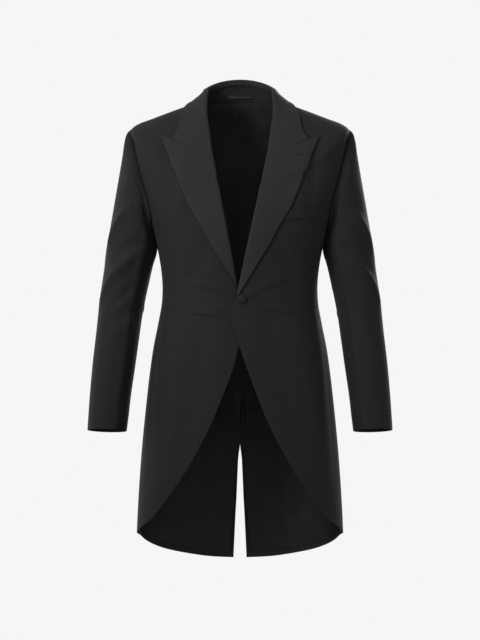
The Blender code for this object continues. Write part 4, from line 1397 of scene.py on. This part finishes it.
class CoatSizes(bpy.types.PropertyGroup):
    """Sizes of the coat's finish."""

    fold_share: FloatProperty(
        name="Fold Height", description="Height of the folds, as a share of their drawn height",
        default=1.0, min=0.0, max=2.0, subtype="FACTOR",
    )
    seam_width: length_setting(
        "Seam Width", "How far from a seam the cloth starts to dip", 0.0024, 0.0005, 0.005
    )
    seam_depth: length_setting(
        "Seam Depth", "How deep the cloth dips at a seam", 0.0007, 0.0, 0.0015
    )
    edge_round: length_setting(
        "Edge Round", "How far a turned edge is rounded from each face", 0.0004, 0.0, 0.0009
    )
    weave_pitch: length_setting(
        "Weave Pitch", "Distance from one rib of the twill to the next", 0.0011, 0.0003, 0.005
    )
    stitch_pitch: length_setting(
        "Stitch Pitch", "Distance from one buttonhole stitch to the next", 0.00085, 0.0003, 0.003
    )
    stitch_length: length_setting(
        "Stitch Length", "Length of one stitch across the buttonhole", 0.0026, 0.0005, 0.006
    )


class CoatColours(bpy.types.PropertyGroup):
    """Colours of the coat's cloths and thread."""

    cloth: colour_setting("Worsted", "Cloth of the body and sleeves", 0.0058, 0.0058, 0.0067)
    lapel: colour_setting(
        "Lapels", "Cloth of lapels and collar, pressed smoother", 0.0080, 0.0080, 0.0088
    )
    lining: colour_setting("Lining", "Satin inside the back and the skirts", 0.0072, 0.0072, 0.0074)
    button: colour_setting("Button", "Cloth that covers the front button", 0.0035, 0.0035, 0.0038)
    thread: colour_setting("Thread", "Silk of the lapel's buttonhole", 0.0058, 0.0058, 0.0062)


# Both sides of the coat. The right one is made as a left one and mirrored
Side = namedtuple("Side", "name mirrored lap front_edge skirt_edge lapel_end creases")
SIDES = (
    Side("left", False, 1, LEFT_EDGE, LEFT_SKIRT_EDGE, LEFT_LAPEL_END, LEFT_SLEEVE_CREASES),
    Side("right", True, -1, RIGHT_EDGE, RIGHT_SKIRT_EDGE, RIGHT_LAPEL_END, RIGHT_SLEEVE_CREASES),
)


class COAT_OT_foreparts(bpy.types.Operator):
    """Lays both foreparts, from the shoulder to the waist seam"""

    bl_idname = "coat.foreparts"
    bl_label = "Foreparts"

    def execute(self, context):
        for side in SIDES:
            places = forepart_places(side.front_edge)
            panel(
                side, "forepart_", places, ["side_body_", "back_"],
                ("right", "bottom", "top"), ("left",), side.lap,
            )
        return {"FINISHED"}


class COAT_OT_side_bodies(bpy.types.Operator):
    """Lays the panel under each arm"""

    bl_idname = "coat.side_bodies"
    bl_label = "Side Bodies"

    def execute(self, context):
        for side in SIDES:
            panel(
                side, "side_body_", side_body_places(), ["forepart_", "back_"],
                ("left", "right", "bottom", "top"), (),
            )
        return {"FINISHED"}


class COAT_OT_skirts(bpy.types.Operator):
    """Lays both skirts, from the waist seam to the cutaway and the hem"""

    bl_idname = "coat.skirts"
    bl_label = "Skirts"

    def execute(self, context):
        for side in SIDES:
            panel(
                side, "skirt_", skirt_places(side), ["forepart_", "back_"],
                ("right", "top"), ("left", "bottom"), side.lap,
            )
        return {"FINISHED"}


class COAT_OT_backs(bpy.types.Operator):
    """Lays both halves of the back, from the neck to the ends of the tails"""

    bl_idname = "coat.backs"
    bl_label = "Backs"

    def execute(self, context):
        for side in SIDES:
            panel(
                side, "back_", back_places(), ["collar_stand", "side_body_"],
                ("left", "right", "top"), ("bottom",),
            )
        return {"FINISHED"}


class COAT_OT_linings(bpy.types.Operator):
    """Lays the linings that show through the neck and the cutaway"""

    bl_idname = "coat.linings"
    bl_label = "Linings"

    def execute(self, context):
        for side in SIDES:
            back = back_places()
            centre = np.interp(
                back[:, -1, 1], (VENT_TOP - VENT_EASE, VENT_TOP),
                (LINING_MARGIN, -side.lap * LINING_PLEAT),
            )
            lining(side, "back_", back, centre)
            lining(side, "skirt_", skirt_places(side)[:, FACING_COLUMNS:], SEAM_GAP, side.lap)
        return {"FINISHED"}


class COAT_OT_lapels(bpy.types.Operator):
    """Turns both lapels over the front edges"""

    bl_idname = "coat.lapels"
    bl_label = "Lapels"

    def execute(self, context):
        for side in SIDES:
            roll = lapel_roll_places(side.front_edge)
            edge = along(stations(LAPEL_EDGE) + stations(side.lapel_end), LAPEL_STATIONS)
            faces = turned_over(roll, edge, LAPEL_ACROSS, LAPEL_STAND_OFF, side.lap, side.lap)
            faces = edged(*drawn_in(*faces, ("bottom",)), (), ("left", "top"))
            cloth(
                "lapel_" + side.name, *faces, side.mirrored, lapel_cloth(), "lapel_worsted",
                "folded", ["forepart_" + side.name], True,
            )
        return {"FINISHED"}


class COAT_OT_collar(bpy.types.Operator):
    """Makes the collar: the fall outside and the stand inside the neck"""

    bl_idname = "coat.collar"
    bl_label = "Collar"

    def execute(self, context):
        to_gorge = ease((np.linspace(0, 1, COLLAR_STATIONS + 1) - 0.5) / 0.5)
        stand_off = COLLAR_STAND_OFF + (LAPEL_STAND_OFF - COLLAR_STAND_OFF) * to_gorge
        outer, inner = turned_over(
            collar_roll_places(), collar_edge_places(), COLLAR_ACROSS, stand_off, 0
        )
        back = unit(outer[-2] - outer[-1])
        opening = np.full(outer.shape[1], SEAM_GAP)
        shares = np.linspace(0, 1, COLLAR_ACROSS + 1)
        opening[: COLLAR_ACROSS + 1] += NOTCH_OPENING * np.clip(1 - shares / NOTCH_SHARE_OPEN, 0, 1)
        outer[-1] += back * opening[:, None]
        inner[-1] += back * opening[:, None]
        outer, inner = whole_from_half(outer), whole_from_half(inner)
        outer, inner = edged(outer, inner, (), ("left",))
        cloth(
            "collar_fall", outer, inner, False, lapel_cloth(), "lapel_worsted", "folded",
            ["collar_stand", "back_left", "back_right"], True,
        )
        seam = set_back(collar_roll_places(), ROLL_RADIUS)
        top = np.array([place for place in seam if place[1] > NECK_SEAM_LEVEL + STAND_LEAST])
        turns = (180, NECK_BACK_TURN, SHOULDER_TURN, top[-1][0] + STAND_SLANT)
        bottom = neck_places(turns, len(top) - 1)
        shares = np.linspace(0, 1, STAND_ROWS)
        grid = np.stack([bottom + (top - bottom) * share for share in shares], axis=1)
        outer, normal = on_form(grid[..., 0], grid[..., 1])
        inner = outer - normal * CLOTH_WALL
        outer, inner = drawn_in(outer, inner, ("left",), STAND_GAP)
        outer, inner = whole_from_half(outer), whole_from_half(inner)
        outer, inner = edged(outer, inner, (), ("left",))
        cloth(
            "collar_stand", outer, inner, False, body_cloth(), "worsted", "hung",
            ["back_left", "back_right"], True,
        )
        return {"FINISHED"}


class COAT_OT_sleeves(bpy.types.Operator):
    """Makes the top and the under part of both sleeves"""

    bl_idname = "coat.sleeves"
    bl_label = "Sleeves"

    def execute(self, context):
        top = np.arange(HINDARM_SEAM_STEP - ARMHOLE_STEPS, FOREARM_SEAM_STEP + 1) % ARMHOLE_STEPS
        under = np.arange(FOREARM_SEAM_STEP, HINDARM_SEAM_STEP + 1)
        seams = ("left", "right")
        for side in SIDES:
            outer, inner = tucked_in(*sleeve_faces(side.creases))
            rests_on = named(["forepart_", "back_"], side)
            for part, steps in (("top_sleeve_", top), ("under_sleeve_", under)):
                faces = edged(*drawn_in(outer[:, steps], inner[:, steps], seams), seams, ("top",))
                cloth(
                    part + side.name, *faces, side.mirrored, body_cloth(), "worsted", "hung",
                    rests_on,
                )
        return {"FINISHED"}


class COAT_OT_breast_welt(bpy.types.Operator):
    """Lays the welt of the breast pocket"""

    bl_idname = "coat.breast_welt"
    bl_label = "Breast Welt"

    def execute(self, context):
        corners = np.array(stations(BREAST_WELT))
        over = np.linspace(0, 1, WELT_COLUMNS + 1)[:, None]
        top = corners[0] + (corners[1] - corners[0]) * over
        bottom = corners[3] + (corners[2] - corners[3]) * over
        grid = np.stack([bottom + (top - bottom) * share for share in np.linspace(0, 1, WELT_ROWS)])
        swell = WELT_SWELL * np.linspace(0, 1, WELT_ROWS)[:, None] ** 2
        inner, _ = on_form(grid[..., 0], grid[..., 1], WELT_CLEARANCE + swell, 1, 1)
        outer, _ = on_form(grid[..., 0], grid[..., 1], WELT_CLEARANCE + WELT_WALL + swell, 1, 1)
        outer, inner = edged(outer, inner, ("left", "right", "bottom"), ())
        cloth(
            "breast_welt", outer, inner, False, body_cloth(), "worsted", "folded",
            ["forepart_left"],
        )
        return {"FINISHED"}


class COAT_OT_hanger_loop(bpy.types.Operator):
    """Makes the loop inside the neck"""

    bl_idname = "coat.hanger_loop"
    bl_label = "Hanger Loop"

    def execute(self, context):
        shares = np.linspace(-1, 1, LOOP_COLUMNS + 1)
        turns = 180 - LOOP_HALF_TURN * np.abs(shares)
        out = -CLOTH_WALL - LOOP_CLEARANCE - LOOP_SLACK * (1 - shares**2)
        levels = np.linspace(*LOOP_LEVELS, LOOP_ROWS)
        faces = []
        for depth in (0.0, -LOOP_WALL):
            rows = [on_form(turns, np.full_like(turns, level), out + depth)[0] for level in levels]
            face = np.stack(rows)
            face[..., 0] *= np.sign(shares)
            faces.append(face)
        thing, _ = wall("hanger_loop_tape", *faces, False, lining_cloth())
        dress(thing, "hanger_loop")
        return {"FINISHED"}


class COAT_OT_front_button(bpy.types.Operator):
    """Makes the covered button at the waist"""

    bl_idname = "coat.front_button"
    bl_label = "Front Button"

    def execute(self, context):
        turn, level = station(BUTTON_X, BUTTON_Z)
        seat, normal = on_form(np.array([turn]), np.array([level]), SEAM_GAP, 1)
        seat, axis = seat[0], normal[0]
        right = unit(np.cross(axis, np.array([0.0, 0.0, 1.0])))
        up = np.cross(right, axis)
        angle = 2 * np.pi * np.arange(BUTTON_SIDES) / BUTTON_SIDES
        ring = right * np.cos(angle)[:, None] + up * np.sin(angle)[:, None]
        shape = bmesh.new()
        spots = shape.loops.layers.uv.new(CLOTH_MAP)
        rings = []
        for radius, height in zip(BUTTON_DOME["radius"], BUTTON_DOME["height"]):
            points = (seat + axis * height + ring * radius) * MM
            rings.append([shape.verts.new(point) for point in points])
        for low, high in zip(rings, rings[1:]):
            for i in range(BUTTON_SIDES):
                j = (i + 1) % BUTTON_SIDES
                shape.faces.new((low[i], low[j], high[j], high[i]))
        shape.faces.new(rings[0][::-1])
        shape.faces.new(rings[-1])
        bmesh.ops.recalc_face_normals(shape, faces=shape.faces)
        for face in shape.faces:
            face.smooth = True
            for loop in face.loops:
                away = np.array(loop.vert.co) - seat * MM
                loop[spots].uv = (away @ right, away @ up)
        mesh = bpy.data.meshes.new("front_button_cover")
        shape.to_mesh(mesh)
        shape.free()
        mesh.materials.append(button_cloth())
        thing = bpy.data.objects.new("front_button_cover", mesh)
        context.collection.objects.link(thing)
        dress(thing, "front_button")
        return {"FINISHED"}


def stitch_tree():
    """Nodes that lay short stitches across a line, one after another."""
    tree = bpy.data.node_groups.new("stitches_across_a_line", "GeometryNodeTree")
    for name, kind, way in (
        ("Line", "NodeSocketGeometry", "INPUT"),
        ("Pitch", "NodeSocketFloat", "INPUT"),
        ("Length", "NodeSocketFloat", "INPUT"),
        ("Thickness", "NodeSocketFloat", "INPUT"),
        ("Facing", "NodeSocketVector", "INPUT"),
        ("Thread", "NodeSocketMaterial", "INPUT"),
        ("Stitches", "NodeSocketGeometry", "OUTPUT"),
    ):
        tree.interface.new_socket(name, in_out=way, socket_type=kind)
    node = Nodes(tree).node
    given = node("NodeGroupInput").outputs
    spaced = node(
        "GeometryNodeResampleCurve", {"mode": "LENGTH"},
        {"Curve": given["Line"], "Length": given["Pitch"]},
    )
    thickness = given["Thickness"]
    size = node(
        "ShaderNodeCombineXYZ", values={0: given["Length"], 1: thickness, 2: thickness}
    )
    bead = node("GeometryNodeMeshUVSphere", values={"Segments": 8, "Rings": 6, "Radius": 0.5})
    shaped = node(
        "GeometryNodeTransform", values={"Geometry": bead.outputs[0], "Scale": size.outputs[0]}
    )
    tangent = node("GeometryNodeInputTangent")
    upright = node(
        "FunctionNodeAlignRotationToVector", {"axis": "Z"}, {"Vector": given["Facing"]}
    )
    turned = node(
        "FunctionNodeAlignRotationToVector", {"axis": "Y", "pivot_axis": "Z"},
        {"Rotation": upright.outputs[0], "Vector": tangent.outputs[0]},
    )
    laid = node(
        "GeometryNodeInstanceOnPoints",
        values={
            "Points": spaced.outputs[0],
            "Instance": shaped.outputs[0],
            "Rotation": turned.outputs[0],
        },
    )
    real = node("GeometryNodeRealizeInstances", values={0: laid.outputs[0]})
    smooth = node("GeometryNodeSetShadeSmooth", values={0: real.outputs[0]})
    threaded = node(
        "GeometryNodeSetMaterial",
        values={"Geometry": smooth.outputs[0], "Material": given["Thread"]},
    )
    node("NodeGroupOutput", values={0: threaded.outputs[0]})
    return tree


def stitched(name, points, facing, pitch, length, thickness, material):
    """A row of stitches along a line of points, as one plain mesh."""
    line = bpy.data.curves.new(name + "_line", "CURVE")
    line.dimensions = "3D"
    run = line.splines.new("POLY")
    run.points.add(len(points) - 1)
    for spot, point in zip(run.points, points):
        spot.co = (*(point * MM), 1.0)
    guide = bpy.data.objects.new(name + "_line", line)
    bpy.context.collection.objects.link(guide)
    laid = guide.modifiers.new("stitches", "NODES")
    laid.node_group = stitch_tree()
    values = {
        "Pitch": pitch, "Length": length, "Thickness": thickness,
        "Facing": [float(part) for part in facing], "Thread": material,
    }
    for socket in laid.node_group.interface.items_tree:
        if socket.item_type == "SOCKET" and socket.in_out == "INPUT" and socket.name in values:
            laid[socket.identifier] = values[socket.name]
    bpy.context.view_layer.update()
    evaluated = guide.evaluated_get(bpy.context.evaluated_depsgraph_get())
    mesh = bpy.data.meshes.new_from_object(evaluated)
    bpy.data.objects.remove(guide, do_unlink=True)
    if not mesh.polygons:
        raise RuntimeError(name + " has no stitches")
    mesh.name = name
    thing = bpy.data.objects.new(name, mesh)
    bpy.context.collection.objects.link(thing)
    return thing


class COAT_OT_lapel_buttonhole(bpy.types.Operator):
    """Works the buttonhole of the left lapel, in close stitches across its slit"""

    bl_idname = "coat.lapel_buttonhole"
    bl_label = "Lapel Buttonhole"

    def execute(self, context):
        ends = np.array(stations(BUTTONHOLE))
        places = ends[0] + (ends[1] - ends[0]) * np.linspace(0, 1, BUTTONHOLE_STEPS)[:, None]
        out = ROLL_CENTRE + ROLL_RADIUS + LAPEL_STAND_OFF + BUTTONHOLE_LIFT
        points, normal = on_form(places[:, 0], places[:, 1], out, 1, 1)
        thing = stitched(
            "lapel_buttonhole", points, unit(normal.mean(axis=0)), sizes().stitch_pitch,
            sizes().stitch_length, sizes().stitch_pitch, silk_thread(),
        )
        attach(thing, BODY_NAME)
        return {"FINISHED"}


def soft_light(name, place, target, size, watts, spread):
    """A square studio light that faces a point, with a grid that narrows its beam."""
    light = bpy.data.lights.new(name, "AREA")
    light.shape = "SQUARE"
    light.size = size
    light.energy = watts
    light.spread = math.radians(spread)
    thing = bpy.data.objects.new(name, light)
    thing.location = place
    aim = np.array(target) - np.array(place)
    thing.rotation_mode = "QUATERNION"
    thing.rotation_quaternion = Vector(aim).to_track_quat("-Z", "Y")
    bpy.context.collection.objects.link(thing)


class COAT_OT_studio(bpy.types.Operator):
    """Sets up the pale floor, the soft lights and the camera"""

    bl_idname = "coat.studio"
    bl_label = "Studio"

    def execute(self, context):
        scene = context.scene
        scene.view_settings.view_transform = "Standard"
        mesh = bpy.data.meshes.new("studio_floor")
        reach = FLOOR_REACH
        corners = [(-reach, -reach), (reach, -reach), (reach, reach), (-reach, reach)]
        mesh.from_pydata([(x, y, FLOOR_LEVEL) for x, y in corners], [], [(0, 1, 2, 3)])
        mesh.materials.append(made_once("paper_floor", paper))
        floor = bpy.data.objects.new("studio_floor", mesh)
        context.collection.objects.link(floor)
        world = bpy.data.worlds.new("studio")
        world.use_nodes = True
        backdrop = world.node_tree.nodes["Background"]
        backdrop.inputs["Color"].default_value = (1, 1, 1, 1)
        backdrop.inputs["Strength"].default_value = BACKDROP_STRENGTH
        scene.world = world
        for light in STUDIO_LIGHTS:
            soft_light(*light)
        camera = bpy.data.cameras.new("camera")
        camera.lens = CAMERA_LENS
        camera.sensor_width = CAMERA_SENSOR
        thing = bpy.data.objects.new("camera", camera)
        thing.location = CAMERA_PLACE
        thing.rotation_euler = (math.radians(90), 0, 0)
        context.collection.objects.link(thing)
        scene.camera = thing
        return {"FINISHED"}


class COAT_PT_coat(bpy.types.Panel):
    """Sizes, colours and pieces of the coat"""

    bl_label = "Morning Coat"
    bl_idname = "COAT_PT_coat"
    bl_space_type = "VIEW_3D"
    bl_region_type = "UI"
    bl_category = "Coat"

    def draw(self, context):
        column = self.layout.column()
        for group in (context.scene.coat_sizes, context.scene.coat_colours):
            for name in group.__annotations__:
                column.prop(group, name)
        for operator in OPERATORS:
            column.operator(operator.bl_idname)


OPERATORS = (
    COAT_OT_foreparts,
    COAT_OT_side_bodies,
    COAT_OT_skirts,
    COAT_OT_backs,
    COAT_OT_linings,
    COAT_OT_lapels,
    COAT_OT_collar,
    COAT_OT_sleeves,
    COAT_OT_breast_welt,
    COAT_OT_hanger_loop,
    COAT_OT_front_button,
    COAT_OT_lapel_buttonhole,
    COAT_OT_studio,
)
CLASSES = (CoatSizes, CoatColours, *OPERATORS, COAT_PT_coat)


def register():
    for kind in CLASSES:
        bpy.utils.register_class(kind)
    bpy.types.Scene.coat_sizes = PointerProperty(type=CoatSizes)
    bpy.types.Scene.coat_colours = PointerProperty(type=CoatColours)


def unregister():
    del bpy.types.Scene.coat_colours
    del bpy.types.Scene.coat_sizes
    for kind in reversed(CLASSES):
        bpy.utils.unregister_class(kind)


def main():
    register()
    for operator in OPERATORS:
        group, name = operator.bl_idname.split(".")
        getattr(getattr(bpy.ops, group), name)()


if __name__ == "__main__":
    main()
